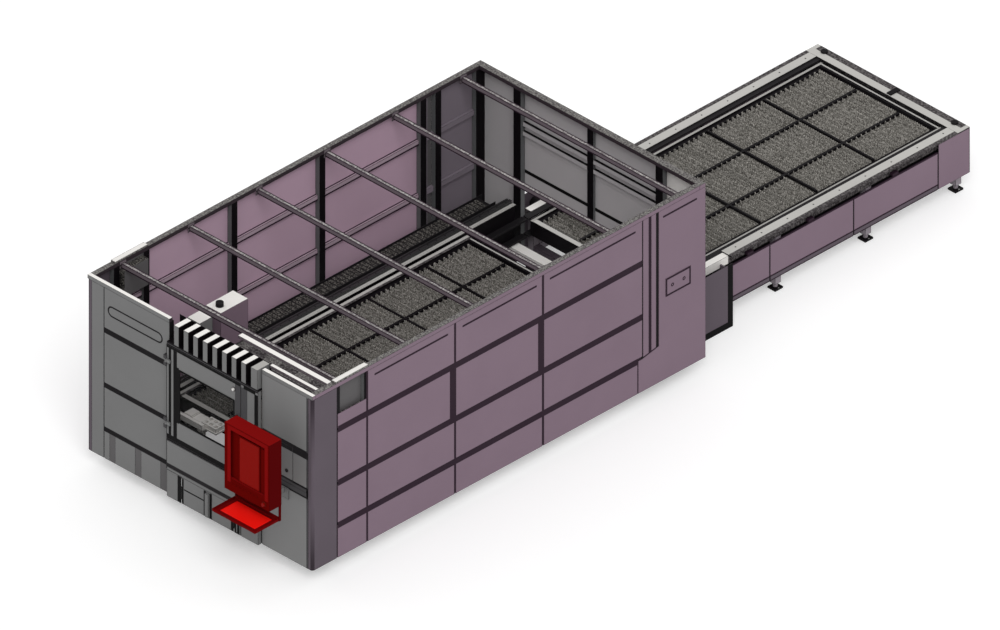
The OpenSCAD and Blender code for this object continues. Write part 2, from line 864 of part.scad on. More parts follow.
// The pillar and the panels under the door and beside the slag drawer
module middle_front_covers() {
    y = [-step_out, -step_out + sheet_t];
    back = [y[1] + fit, y[1] + fit + sheet_t];
    x0 = door_x;
    x1 = door_end_x;
    color(front_grey) place() {
        difference() {
            block([pillar_x, pillar_end_x], [-step_out, 0], [skirt_z, fin_z - 20 - fit]);
            block([pillar_x + sheet_t, pillar_end_x - sheet_t], [-step_out + sheet_t, 1],
                [skirt_z - 1, fin_z]);
        }
        block([x0, x1], y, [side_low_z - 55, door_z - 30]);
        block([x0, drawer_x - 10], y, [skirt_z, side_low_z - 85]);
        block([drawer_end_x + 10, x1], y, [skirt_z, side_low_z - 85]);
        // Return sheets from the front face to the stepped-out panels
        block([x0, x0 + sheet_t], [-step_out + sheet_t + fit, front_in_y - fit],
            [skirt_z, door_z - 30]);
        block([x1 - sheet_t, x1], [-step_out + sheet_t + fit, front_in_y - fit],
            [skirt_z, door_z - 30]);
        // Sheets behind the two seams
        for (z = [[door_z - 60, door_z - 4], [side_low_z - 105, side_low_z - 40]])
            block([x0 + sheet_t + fit, x1 - sheet_t - fit], back, z);
    }
}

module vent_baffles() {
    x0 = door_x + 100;
    color(front_grey) place() {
        for (i = [0:fins - 1])
            hood([x0 + i * fin_pitch, x0 + i * fin_pitch + fin_w],
                [-step_out, -step_out + fin_d], [fin_z, body_h]);
        // Tray under the baffles and the sheet behind them
        block([door_x, pillar_end_x], [-step_out, -step_out + fin_d],
            [fin_z - 20, fin_z - fit]);
        block([door_x, pillar_end_x],
            [-step_out + fin_d + fit, -step_out + fin_d + sheet_t], [fin_z - 20, body_h]);
    }
}

// Rear wall

module rear_wall_sheets() {
    y = [body_l - sheet_t, body_l];
    side_x = skin_x - fit;
    color(front_grey) place() {
        difference() {
            both_sides()
                block([gate_x + 50, side_x], y, [skirt_z, rail_low_z - fit]);
            rod_y(duct_x, body_l - 10, body_l + 10, duct_z, spigot_r + 1);
        }
        block([-gate_x - 50 + fit, gate_x + 50 - fit], y,
            [side_high_z - 280, rail_low_z - fit]);
    }
}

module cable_tray() {
    x0 = cable_tray_x;
    x1 = x0 + cable_tray_w;
    y = cable_tray_y;
    z = cable_tray_z;
    color(near_black) place() mirror([1, 0, 0]) {
        block([x0, x1], y, [z, z + 6]);
        block([x0, x0 + 4], y, [z + 6 + fit, bed_top_z]);
        block([x1 - 4, x1], y, [z + 6 + fit, bed_top_z]);
        // The energy chain lies in the tray
        block([x0 + 20, x1 - 20], [y[0] + 60, y[1] - 60], [z + 6 + fit, bed_top_z - 14]);
        for (foot_y = cross_y)
            block([bed_out_x + fit, x1], [foot_y, foot_y + 60], [z - 50, z - fit]);
    }
}

module extraction_duct() {
    color(pale) place() {
        difference() {
            rod_y(duct_x, body_l - 400, body_l + spigot_l, duct_z, spigot_r);
            rod_y(duct_x, body_l - 401, body_l + spigot_l + 1, duct_z, spigot_r - spigot_t);
        }
        difference() {
            block([duct_x - duct_half, duct_x + duct_half],
                [bed_front_y + 400, body_l - 400 - fit],
                [duct_z - duct_half, duct_z + duct_half]);
            block([duct_x - duct_half + spigot_t, duct_x + duct_half - spigot_t],
                [bed_front_y + 400 + spigot_t, body_l - 400 - fit - spigot_t],
                [duct_z - duct_half + spigot_t, duct_z + duct_half - spigot_t]);
            rod_y(duct_x, body_l - 500, body_l, duct_z, spigot_r - spigot_t);
        }
        for (y = cross_y)
            block([bed_out_x + fit, duct_x - duct_half - fit], [y, y + 60],
                [duct_z - 40, duct_z + 40]);
    }
}

// Exchange table

module table_frame() {
    x0 = bed_in_x;
    x1 = table_beam_x;
    low_z = [table_skirt_z + 10, table_skirt_z + 10 + table_cross_t];
    color(plum) place() {
        both_sides() {
            block([x0, x1], [table_rail_y, table_end_y - 100 - fit],
                [table_top_beam_z, upper_rail_z]);
            for (y = legs_y)
                block([x0, x1], [y, y + leg_w], [foot_t + 50, table_top_beam_z - fit]);
            // Feet
            for (y = legs_y) {
                block([x0 - foot_over, x1 + foot_over],
                    [y - foot_over, y + leg_w + foot_over], [0, foot_t]);
                rod_z(x0 + 40, y + leg_w / 2, foot_t + fit, foot_t + 50 - fit, 25);
            }
            // Low beams between the legs
            for (i = [0:2])
                block([x0, x1], [legs_y[i] + leg_w + fit, legs_y[i + 1] - fit], low_z);
            // Joining strips behind the side panels' seams
            for (i = [1:3])
                block([table_half - table_sheet_t - fit - joint_t,
                        table_half - table_sheet_t - fit],
                    [table_y + panel_seams[i] - 20, table_y + panel_seams[i] + 20],
                    [table_skirt_z, upper_rail_z - table_reveal]);
            // Low stops on the rear top strip
            rod_z(table_half - 150, table_end_y - 60, table_top_z + fit, table_top_z + 18, 36);
        }
        block([54, 114], [table_end_y - rear_strip_w + 10, table_end_y - 20],
            [table_top_z + fit, table_top_z + 14]);
        for (y = legs_y)
            block([-x0 + fit, x0 - fit], [y, y + leg_w], low_z);
        block([-table_half + table_sheet_t + fit, table_half - table_sheet_t - fit],
            [table_end_y - 100, table_end_y - 80], [table_top_beam_z, upper_rail_z]);
    }
}

module table_side_panels() {
    color(wall_mauve) place() {
        both_sides() {
            for (i = [0:3])
                block([table_half - table_sheet_t, table_half],
                    [table_y + panel_seams[i] + panel_gap / 2,
                        table_y + panel_seams[i + 1] - panel_gap / 2],
                    [table_skirt_z, i == 3 ? upper_rail_z : upper_rail_z - table_reveal]);
            // Brackets from the side beams out to the panels
            for (i = [0:3])
                block([table_beam_x + fit, table_half - table_sheet_t - fit],
                    [table_y + (panel_seams[i] + panel_seams[i + 1]) / 2 - 40,
                        table_y + (panel_seams[i] + panel_seams[i + 1]) / 2 + 40],
                    [table_top_beam_z + 5, table_top_beam_z + 35]);
        }
        block([-table_half, table_half], [table_end_y - table_sheet_t, table_end_y],
            [table_skirt_z, upper_rail_z]);
    }
}

module table_top_strips() {
    z = [upper_rail_z + fit, table_top_z];
    color(pale) place() {
        both_sides()
            block([wheel_out_x + 10, table_half], [table_y, table_end_y - rear_strip_w - fit], z);
        block([-table_half, table_half], [table_end_y - rear_strip_w, table_end_y], z);
    }
}

// A chain loop beside each wheel track, its upper run at the upper pallet, its lower run
// at the lower pallet, with a gear motor at one end and a tension shoe at the other
module chain_end(y, way) {
    r = sprocket_r + fit;
    x = [chain_in_x, chain_in_x + chain_w];
    difference() {
        rod_x(x[0], x[1], y, chain_z, r + chain_t);
        rod_x(x[0] - 1, x[1] + 1, y, chain_z, r);
        translate([0, y, 0])
            mirror([0, way, 0])
                block([x[0] - 1, x[1] + 1], [-100, fit], [chain_z - 100, chain_z + 100]);
    }
}

module chain_drive() {
    r = sprocket_r + fit;
    x = [chain_in_x, chain_in_x + chain_w];
    blocks = [bed_in_x, table_beam_x];
    color(near_black) place() both_sides() {
        for (s = [-1, 1])
            block(x, [sprocket_y, shoe_y],
                [chain_z + s * (r + chain_t / 2) - chain_t / 2,
                    chain_z + s * (r + chain_t / 2) + chain_t / 2]);
        chain_end(sprocket_y, 1);
        chain_end(shoe_y, 0);
        // Bearing block of the sprocket and the carrier of the shoe
        difference() {
            block(blocks, [sprocket_y - 70, sprocket_y + 70],
                [chain_z - 70, table_top_beam_z - fit]);
            rod_x(bed_in_x - 1, bed_in_x + stub_l + 5, sprocket_y, chain_z, stub_r + running);
        }
        block(blocks, [shoe_y - 40, shoe_y + 40], [chain_z - 40, table_top_beam_z - fit]);
        rod_x(x[0], bed_in_x - fit, shoe_y, chain_z, sprocket_r);
        // Gear motor with its flange
        block([table_beam_x + fit, table_beam_x + drive_plate_t],
            [sprocket_y - 90, sprocket_y + 90], [chain_z - 90, chain_z + 90]);
        rod_x(table_beam_x + drive_plate_t + fit, guard_x - 8, sprocket_y, chain_z,
            drive_motor_r);
    }
}

module guard_plates() {
    color(plum) place() both_sides() {
        block([guard_x - sheet_t, guard_x], [body_l + fit, body_l + guard_l], [0, guard_h]);
        block([table_beam_x + fit, guard_x - sheet_t - fit],
            [body_l + guard_l - 30, body_l + guard_l - 10], [guard_h - 120, guard_h - 80]);
    }
}

// Hinges and console arm

module hinge_at(z) {
    rod_z(hinge_x, hinge_y, z - knuckle_l * 1.5, z + knuckle_l * 1.5, pin_r);
    for (s = [-1, 1])
        difference() {
            union() {
                rod_z(hinge_x, hinge_y, z + s * knuckle_l - knuckle_l / 2 + fit,
                    z + s * knuckle_l + knuckle_l / 2 - fit, hinge_r);
                block([hinge_x - hinge_r - 14, hinge_x], [hinge_y - 6, hinge_y + 6],
                    [z + s * knuckle_l - knuckle_l / 2 + fit,
                        z + s * knuckle_l + knuckle_l / 2 - fit]);
                block([hinge_x - hinge_r - 14, hinge_x - hinge_r - 4],
                    [hinge_y - 6, -fit],
                    [z + s * knuckle_l - knuckle_l / 2 + fit,
                        z + s * knuckle_l + knuckle_l / 2 - fit]);
            }
            rod_z(hinge_x, hinge_y, z - 200, z + 200, pin_r + running);
        }
}

module key_hinge_at(z) {
    rod_z(key_hinge_x, key_hinge_y, z - 45, z + 45, key_pin_r);
    for (s = [-1, 1])
        difference() {
            union() {
                rod_z(key_hinge_x, key_hinge_y, z + s * 30 - 15 + fit, z + s * 30 + 15 - fit,
                    key_hinge_r);
                block([pillar_end_x + fit, key_hinge_x], [key_hinge_y - 4, key_hinge_y + 4],
                    [z + s * 30 - 15 + fit, z + s * 30 + 15 - fit]);
            }
            rod_z(key_hinge_x, key_hinge_y, z - 90, z + 90, key_pin_r + running);
        }
}

module door_hinges() {
    color(near_black) place() {
        hinge_at(door_z + 180);
        hinge_at(door_top_z - 180);
        key_hinge_at(right_low_z + 110);
        key_hinge_at(right_high_z - 110);
    }
}

module console_arm() {
    x = console_mid_x;
    color(near_black) place() {
        block([x - 90, x + 90], [-14, -fit], [arm_z - 60, arm_z + arm_h]);
        union() {
            block([x - 30, x + 30], [pivot_y, -14 - fit], [arm_z, arm_z + arm_h]);
            rod_z(x, pivot_y, arm_z, arm_z + arm_h, boss_r);
            rod_z(x, pivot_y, arm_z + arm_h - 1, console_z - 4, pivot_r);
        }
    }
}

// Moving doors

module rear_lift_door() {
    x = gate_x + gate_post_w - 20;
    color(front_grey) place()
        block([-x, x], [lift_y, lift_y + lift_t], [side_mid_z + 10, side_high_z + 110]);
}

module front_door() {
    y = [-step_out, -step_out + sheet_t];
    wx1 = window_x + window_w;
    wz1 = window_z + window_h;
    bar = 36;
    back = -step_out + sheet_t + fit;
    color(front_grey) place() {
        difference() {
            block([door_x, door_end_x], y, [door_z, door_top_z]);
            block([window_x, wx1], [-step_out - 1, 0], [window_z, wz1]);
        }
        // Stiffening bars behind the skin
        for (x = [door_x + 3, door_end_x - bar - 3])
            block([x, x + bar], [back, back + 30], [door_z + 3, door_top_z - 3]);
        for (z = [door_z + 3, door_top_z - bar - 3])
            block([door_x + 3 + bar + fit, door_end_x - bar - 3 - fit], [back, back + 30],
                [z, z + bar]);
        for (z = [door_z + 180, door_top_z - 180])
            difference() {
                union() {
                    rod_z(hinge_x, hinge_y, z - knuckle_l / 2, z + knuckle_l / 2, hinge_r);
                    block([hinge_x, hinge_x + 60], [hinge_y - 4, -step_out - fit],
                        [z - knuckle_l / 2, z + knuckle_l / 2]);
                }
                rod_z(hinge_x, hinge_y, z - 100, z + 100, pin_r + running);
            }
    }
}

module front_window() {
    lap = 24;
    back = -step_out + sheet_t + fit;
    color([0.25, 0.3, 0.28, 0.5]) place()
        block([window_x - lap, window_x + window_w + lap], [back, back + glass_t],
            [window_z - lap, window_z + window_h + lap]);
}

module door_handle() {
    x = door_end_x - 42;
    mid = window_z + window_h / 2;
    color(near_black) place() {
        union() {
            rod_z(x, -step_out - 48, mid - 170, mid + 170, 12);
            for (z = [mid - 150, mid + 150])
                rod_y(x, -step_out - 48, -step_out - fit, z, 9);
        }
    }
}

module key_door() {
    gap = front_seam / 2;
    color(front_grey) place() {
        difference() {
            block([right_x + 2, key_door_end_x], [0, sheet_t],
                [right_low_z + gap, right_high_z - gap]);
            rod_y(lock_x, -1, sheet_t + 1, lock_z, lock_r + running);
        }
        for (z = [right_low_z + 110, right_high_z - 110])
            difference() {
                union() {
                    rod_z(key_hinge_x, key_hinge_y, z - 15, z + 15, key_hinge_r);
                    block([key_hinge_x, key_hinge_x + 34], [key_hinge_y + 4.6, -fit],
                        [z - 15, z + 15]);
                    block([key_hinge_x - 2, key_hinge_x + 8],
                        [key_hinge_y, key_hinge_y + 5], [z - 15, z + 15]);
                }
                rod_z(key_hinge_x, key_hinge_y, z - 90, z + 90, key_pin_r + running);
            }
    }
}

module key_lock() {
    color("silver") place()
        difference() {
            union() {
                rod_y(lock_x, -8, 34, lock_z, lock_r);
                rod_y(lock_x, -9, -fit, lock_z, lock_r + 6);
                block([lock_x - 10, lock_x + 10], [28, 34], [lock_z - 58, lock_z]);
            }
            block([lock_x - 1.5, lock_x + 1.5], [-10, 4], [lock_z - 6, lock_z + 6]);
        }
}

module slag_drawer() {
    x0 = drawer_in_x;
    x1 = drawer_in_end_x;
    z0 = drawer_low_z;
    z1 = z0 + drawer_box_h;
    mid = drawer_x + drawer_w / 2 + 2.5;
    color(front_grey) place() {
        block([drawer_x, drawer_end_x], [-step_out, -step_out + sheet_t],
            [skirt_z + 2, side_low_z - 87]);
        difference() {
            block([x0, x1], [-step_out + sheet_t + fit, drawer_d], [z0, z1]);
            block([x0 + 4, x1 - 4], [-step_out + sheet_t + 6, drawer_d - 4], [z0 + 4, z1 + 1]);
        }
        block([mid - 24, mid + 24], [-step_out - 24, -step_out - fit],
            [skirt_z + 20, side_low_z - 105]);
    }
}

// Gantry, carriage and head

module gantry_beam() {
    color(plum) place() {
        difference() {
            block([-beam_half, beam_half], [beam_y, beam_y + beam_d], [beam_z, beam_z + beam_h]);
            block([-beam_half - 1, beam_half + 1],
                [beam_y + beam_wall, beam_y + beam_d - beam_wall],
                [beam_z + beam_wall, beam_z + beam_h - beam_wall]);
        }
        for (z = [low_guide_z, high_guide_z])
            block([-beam_half + 60, beam_half - 60], [front_guide_y, beam_y - fit],
                [z, z + front_guide]);
        block([-beam_half + 60, beam_half - 60], [beam_y - 14, beam_y - fit],
            [carriage_rack_z, carriage_rack_z + carriage_rack_h]);
    }
}

module gantry_end_plates() {
    y = [end_plate_y, end_plate_y + end_plate_l];
    z = [end_plate_z, end_plate_z + end_plate_t];
    color(near_black) place() both_sides() {
        difference() {
            block([end_in_x, end_out_x], y, z);
            rod_z(pinion_x, pinion_y, z[0] - 1, z[1] + 1, shaft_r + running);
        }
        // Guide blocks that sit over the rail
        for (y0 = [y[0] + 10, y[1] - 10 - block_l])
            difference() {
                block([guide_x - block_w / 2, guide_x + block_w / 2 - 14], [y0, y0 + block_l],
                    [guide_top_z - 20, end_plate_z - fit]);
                block([guide_x - guide_w / 2 - running, guide_x + guide_w / 2 + running],
                    [y0 - 1, y0 + block_l + 1], [0, guide_top_z + running]);
            }
    }
}

module gantry_motors() {
    color(near_black) place() both_sides()
        difference() {
            rod_z(pinion_x, pinion_y, end_plate_z + end_plate_t + fit, motor_top_z, motor_r);
            rod_z(pinion_x, pinion_y, 0, end_plate_z + end_plate_t + 30, shaft_r + running);
        }
}

// Pinion that rolls along the rack, with its shaft up through the end plate
module drive_pinion() {
    union() {
        rod_z(pinion_x, pinion_y, bed_top_z + 2, bed_top_z + rack_h, pinion_r);
        rod_z(pinion_x, pinion_y, bed_top_z + rack_h - 1, end_plate_z + end_plate_t + 28, shaft_r);
    }
}

module left_pinion() {
    color("silver") place()
        mirror([1, 0, 0])
            drive_pinion();
}

module right_pinion() {
    color("silver") place()
        drive_pinion();
}

module carriage() {
    x = [-carriage_x - carriage_w / 2, -carriage_x + carriage_w / 2];
    color(plum) place() {
        difference() {
            block(x, [saddle_y, saddle_y + saddle_t], [beam_z + 15, saddle_top_z]);
            rod_y(-carriage_x, saddle_y - 1, saddle_y + saddle_t + 1, carriage_pinion_z,
                shaft_r + running);
        }
        for (z = [low_guide_z, high_guide_z], x0 = [x[0] + 10, x[1] - 80])
            difference() {
                block([x0, x0 + 70], [saddle_y + saddle_t + fit, front_guide_y + 12],
                    [z - 16, z + front_guide + 16]);
                block([x0 - 1, x0 + 71], [front_guide_y - running, beam_y],
                    [z - running, z + front_guide + running]);
            }
        // Housing of the Z drive, with the slide rails on its face
        difference() {
            block(x, [column_y, saddle_y - fit], [beam_z + 15, saddle_top_z]);
            rod_y(-carriage_x, saddle_y - 40, saddle_y + 1, carriage_pinion_z, shaft_r + 2);
        }
        for (x0 = [x[0] + 40, x[1] - 60])
            block([x0, x0 + 20], [slide_y, column_y - fit], [beam_z + 20, saddle_top_z]);
    }
}

module carriage_pinion() {
    color("silver") place()
        union() {
            rod_y(-carriage_x, beam_y - 14, beam_y - 1, carriage_pinion_z, carriage_pinion_r);
            rod_y(-carriage_x, saddle_y - 30, beam_y - 2, carriage_pinion_z, shaft_r);
        }
}

module carriage_cover() {
    x = [-carriage_x - carriage_w / 2, -carriage_x + carriage_w / 2];
    color(wall_mauve) place() {
        hood(x, [cover_front_y, cover_front_y + cover_d], [saddle_top_z + fit, carriage_top_z]);
        rod_z(-carriage_x, cover_front_y + 90, carriage_top_z + fit, carriage_top_z + 45, motor_r);
    }
}

module cutting_head() {
    x = head_x;
    back = slide_y - fit;
    color("silver") place() {
        union() {
            block([x - 60, x + 60], [back - 16, back], [barrel_top_z - 60, saddle_top_z + 60]);
            block([x - 45, x + 45], [head_y, back - 15], [barrel_top_z - 40, barrel_top_z]);
            rod_z(x, head_y, nozzle_z + 60, barrel_top_z, barrel_r);
            translate([x, head_y, nozzle_z])
                cylinder(r1 = 3, r2 = barrel_r - 12, h = 60.5);
        }
    }
}

module head_cover() {
    x = head_x;
    color(pale) place()
        hood([x - head_w / 2, x + head_w / 2], [head_y - head_d / 2, head_y + head_d / 2],
            [barrel_top_z + fit, carriage_top_z]);
}

// Pallets

module pallet_frame(y0, rail_z) {
    z0 = rail_z + frame_low;
    z1 = z0 + pallet_h;
    axle_z = rail_z + wheel_r;
    inner = pallet_half - pallet_rail_w - fit;
    both_sides()
        difference() {
            block([pallet_half - pallet_rail_w, pallet_half], [y0, y0 + pallet_l],
                [z0, z1 + slat_over - 4]);
            for (y = [y0 + axle_inset, y0 + pallet_l - axle_inset])
                rod_x(pallet_half - pallet_rail_w - 1, pallet_half + 1, y, axle_z,
                    axle_r + running);
        }
    for (y = [y0, y0 + pallet_l - 60])
        block([-inner, inner], [y, y + 60], [z0, z1 + slat_over - 4]);
    for (i = [1:3])
        block([-inner, inner], [y0 + i * pallet_l / 4 - 20, y0 + i * pallet_l / 4 + 20],
            [z0, z1 - slat_h + slat_over - fit]);
    // Comb bars beside the slats' ends
    both_sides()
        block([inner - comb_w, inner], [y0 + 60 + fit, y0 + pallet_l - 60 - fit],
            [z1 - slat_h + slat_over, z1 + slat_over - 22]);
}

module pallet_slats(y0, rail_z) {
    z1 = rail_z + frame_low + pallet_h + slat_over;
    count = floor((pallet_l - 180) / slat_pitch);
    start = y0 + (pallet_l - count * slat_pitch) / 2;
    for (i = [0:count])
        block([-slat_len / 2, slat_len / 2],
            [start + i * slat_pitch - slat_t / 2, start + i * slat_pitch + slat_t / 2],
            [z1 - slat_h, z1]);
}

module pallet_axle(y, rail_z) {
    z = rail_z + wheel_r;
    union() {
        rod_x(-wheel_out_x, wheel_out_x, y, z, axle_r);
        both_sides()
            rod_x(wheel_in_x, wheel_out_x, y, z, wheel_r - running);
    }
}

module upper_pallet_frame() {
    color(pale) place()
        pallet_frame(pallet_y, upper_rail_z);
}

module upper_pallet_slats() {
    color(bare_steel) place()
        pallet_slats(pallet_y, upper_rail_z);
}

module lower_pallet_frame() {
    color(pale) place()
        pallet_frame(pallet_y + exchange_travel, lower_rail_z);
}

module lower_pallet_slats() {
    color(bare_steel) place()
        pallet_slats(pallet_y + exchange_travel, lower_rail_z);
}

module upper_front_axle() {
    color("silver") place()
        pallet_axle(pallet_y + axle_inset, upper_rail_z);
}

module upper_rear_axle() {
    color("silver") place()
        pallet_axle(pallet_y + pallet_l - axle_inset, upper_rail_z);
}

module lower_front_axle() {
    color("silver") place()
        pallet_axle(pallet_y + exchange_travel + axle_inset, lower_rail_z);
}

module lower_rear_axle() {
    color("silver") place()
        pallet_axle(pallet_y + exchange_travel + pallet_l - axle_inset, lower_rail_z);
}

module sprocket() {
    union() {
        rod_x(chain_in_x + 1, chain_in_x + sprocket_t, sprocket_y, chain_z, sprocket_r);
        rod_x(chain_in_x + 2, bed_in_x + stub_l, sprocket_y, chain_z, stub_r);
    }
}

module left_sprocket() {
    color("silver") place()
        mirror([1, 0, 0])
            sprocket();
}

module right_sprocket() {
    color("silver") place()
        sprocket();
}

// Console

module screen_recess(grow) {
    rim = 44 - grow;
    block([console_x + rim, console_right - rim],
        [console_front_y - 1, console_front_y + 30 + grow],
        [console_z + 150 - grow, console_z + console_h - rim]);
}

module console_housing() {
    x = console_mid_x;
    y = [console_front_y, console_back_y];
    color(console_red) place() {
        difference() {
            block([console_x, console_right], [y[0], y[1] - sheet_t - fit],
                [console_z, console_z + console_h]);
            // The sunk screen, and the hollow behind the sheet all round it
            screen_recess(0);
            difference() {
                block([console_x + sheet_t, console_right - sheet_t], [y[0] + sheet_t, y[1]],
                    [console_z + sheet_t, console_z + console_h - sheet_t]);
                screen_recess(sheet_t);
            }
            rod_y(button_x, y[0] - 1, y[0] + 22, button_z, button_r - 6 + running);
        }
        block([console_x, console_right], [y[1] - sheet_t, y[1]],
            [console_z, console_z + console_h]);
        // Bracket that turns on the arm's pin
        difference() {
            union() {
                rod_z(x, pivot_y, arm_z + arm_h + fit, console_z - 5, pivot_r + 16);
                block([x - 60, x + 60], [console_front_y + 30, pivot_y - pivot_r - 4],
                    [arm_z + arm_h + 20, console_z - fit]);
            }
            rod_z(x, pivot_y, 0, body_h, pivot_r + running);
        }
        // Cheeks that carry the tray's pins
        for (x0 = [console_x + 4, console_right - 4 - cheek_t])
            difference() {
                block([x0, x0 + cheek_t], [tray_pin_y - 15, console_back_y],
                    [tray_z, console_z - fit]);
                rod_x(x0 - 1, x0 + cheek_t + 1, tray_pin_y, tray_pin_z, tray_pin_r + running);
            }
    }
}

module keyboard_tray() {
    x0 = console_x + 4 + cheek_t + fit;
    x1 = console_right - 4 - cheek_t - fit;
    color(console_red) place()
        difference() {
            union() {
                block([x0, x1], [tray_pin_y - 15, tray_pin_y + 14], [tray_z + 1, tray_z + tray_t - 1]);
                block([x0, x1], [tray_front_y, tray_pin_y - 14], [tray_z, tray_z + tray_t]);
                rod_x(console_x + 5, console_right - 5, tray_pin_y, tray_pin_z, tray_pin_r);
            }
            block([x0 + tray_wall, x1 - tray_wall], [tray_front_y + tray_wall, tray_pin_y - 30],
                [tray_z + 4, tray_z + tray_t + 1]);
        }
}

module stop_button() {
    y = console_front_y;
    color([0.8, 0.05, 0.05]) place()
        union() {
            rod_y(button_x, y - 12, y + 14, button_z, button_r - 6);
            rod_y(button_x, y - 26, y - 11, button_z, button_r);
        }
}

// Station with spare nozzles and a calibration plate, in front of the upper pallet
module nozzle_station() {
    deck_z = pallet_track_t + upper_rail_z + 110;
    top_z = deck_z + 50;
    post_y = [bed_front_y - 10, bed_front_y + 50];
    x = head_x + 130;
    color(pale) place() {
        block([x + 140, x + 200], post_y, [lower_rail_z - 25 + fit, deck_z - fit]);
        block([x, x + 500], [bed_front_y - 110, bed_front_y + 60], [deck_z, deck_z + 14]);
        // Lip along the front
        block([x, x + 350], [bed_front_y - 150, bed_front_y - 110 - fit], [deck_z, top_z + 10]);
        // Calibration plate
        block([x + 20, x + 120], [bed_front_y - 70, bed_front_y + 50],
            [deck_z + 14 + fit, deck_z + 34]);
        // Nozzle magazine with its pockets
        difference() {
            block([x + 280, x + 480], [bed_front_y - 90, bed_front_y + 50],
                [deck_z + 14 + fit, top_z]);
            for (i = [0:2], j = [0:1])
                rod_z(x + 315 + i * 65, bed_front_y - 52 + j * 65, deck_z + 30, top_z + 1, 18);
        }
    }
}

bed_side_beams();
bed_cross_beams();
bed_feet();
gantry_guides();
pallet_rails();
slag_chutes();
base_frame();
wall_posts();
wall_ribs();
right_wall_sheets();
left_wall_sheets();
corner_covers();
interface_plates();
top_rails();
roof_struts();
front_frame();
left_front_covers();
right_front_covers();
middle_front_covers();
vent_baffles();
rear_wall_sheets();
cable_tray();
extraction_duct();
table_frame();
table_side_panels();
table_top_strips();
chain_drive();
guard_plates();
door_hinges();
console_arm();
rear_lift_door();
front_door();
front_window();
door_handle();
key_door();
key_lock();
slag_drawer();
gantry_beam();
gantry_end_plates();
gantry_motors();
left_pinion();
right_pinion();
carriage();
carriage_pinion();
carriage_cover();
cutting_head();
head_cover();
upper_pallet_frame();
upper_pallet_slats();
lower_pallet_frame();
lower_pallet_slats();
upper_front_axle();
upper_rear_axle();
lower_front_axle();
lower_rear_axle();
left_sprocket();
right_sprocket();
console_housing();
keyboard_tray();
stop_button();
nozzle_station();
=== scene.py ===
"""Looks of the laser cutting machine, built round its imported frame. Lengths are in metres."""
import json
import math
import random

import bmesh
import bpy
from mathutils import Matrix, Vector


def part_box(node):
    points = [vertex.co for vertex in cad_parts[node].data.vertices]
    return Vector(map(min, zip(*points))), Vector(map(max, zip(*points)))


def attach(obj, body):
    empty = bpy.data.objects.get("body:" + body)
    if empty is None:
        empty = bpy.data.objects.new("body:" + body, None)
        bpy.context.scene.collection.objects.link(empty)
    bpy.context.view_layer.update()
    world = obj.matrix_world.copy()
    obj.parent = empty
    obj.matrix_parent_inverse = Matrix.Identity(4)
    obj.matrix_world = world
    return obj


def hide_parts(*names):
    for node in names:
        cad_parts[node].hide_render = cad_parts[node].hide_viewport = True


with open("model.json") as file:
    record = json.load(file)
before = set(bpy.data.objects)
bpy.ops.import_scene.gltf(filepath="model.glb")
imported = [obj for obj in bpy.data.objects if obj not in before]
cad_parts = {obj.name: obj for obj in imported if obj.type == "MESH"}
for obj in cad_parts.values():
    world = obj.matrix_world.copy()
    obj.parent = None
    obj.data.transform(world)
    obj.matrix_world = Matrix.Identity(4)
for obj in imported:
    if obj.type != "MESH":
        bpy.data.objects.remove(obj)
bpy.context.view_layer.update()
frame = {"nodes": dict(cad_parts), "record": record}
record = frame["record"]
BODY = {n: b for b, nodes in record["behaviour"]["bodies"].items() for n in nodes}
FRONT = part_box("left_front_covers")[0].y    # the enclosure's front face
WALL = 1.56                                 # outer face of the side walls
SIDES = (-1, 1)                             # left and right, as signs of x


def behind(y):
    """Row Y of a distance behind the front face."""
    return FRONT + y


# Camera: the photograph is an orthographic view from the front right.
AIM = Vector((-0.40, 0.0925, 0.18))
BACK = Vector((0.5927, -0.5927, 0.5455)).normalized()
VIEW_WIDTH = 9.804
DISTANCE = 25
cam = bpy.data.objects.new("camera", bpy.data.cameras.new("camera"))
bpy.context.scene.collection.objects.link(cam)
cam.data.type = "ORTHO"
cam.data.ortho_scale = VIEW_WIDTH
cam.data.clip_end = 4 * DISTANCE
cam.location = AIM + BACK * DISTANCE
cam.rotation_mode = "QUATERNION"
cam.rotation_quaternion = (-BACK).to_track_quat("-Z", "Y")
bpy.context.scene.camera = cam


# Materials

NOISE = (0.3, 0.7)                          # where most values of a noise lie
CLOUD_SCALE = 1.6
GRAIN_SCALE = 220
DARK_SPOTS = (0.40, 0.49)                   # noise values where a mottle's dark spots fade out
LIGHT_SPOTS = (0.53, 0.60)                  # noise values where its light spots fade in
STREAKS = (0.35, 0.65)                      # noise values between which a brushing darkens
STREAK_DEPTH = 0.35
EDGE_TURN = (0.995, 0.90)                   # cosines of the turn across which an edge darkens


def rgb(r, g, b):
    """Linear colour from 0-255 display values."""
    return tuple(
        (c / 12.92 if c <= 0.04045 else ((c + 0.055) / 1.055) ** 2.4)
        for c in (r / 255, g / 255, b / 255)
    ) + (1.0,)


def new_material(name):
    """A new material, its node tree and its surface node."""
    m = bpy.data.materials.new(name)
    m.use_nodes = True
    return m, m.node_tree, m.node_tree.nodes["Principled BSDF"]


def object_place(tree):
    return tree.nodes.new("ShaderNodeTexCoord").outputs["Object"]


def noise(tree, place, scale, detail):
    n = tree.nodes.new("ShaderNodeTexNoise")
    n.inputs["Scale"].default_value = scale
    n.inputs["Detail"].default_value = detail
    tree.links.new(place, n.inputs["Vector"])
    return n.outputs["Fac"]


def span(tree, value, given, wanted):
    """Maps a value from the given range to the wanted one."""
    r = tree.nodes.new("ShaderNodeMapRange")
    for k, v in zip(("From Min", "From Max", "To Min", "To Max"), (*given, *wanted)):
        r.inputs[k].default_value = v
    tree.links.new(value, r.inputs["Value"])
    return r.outputs["Result"]


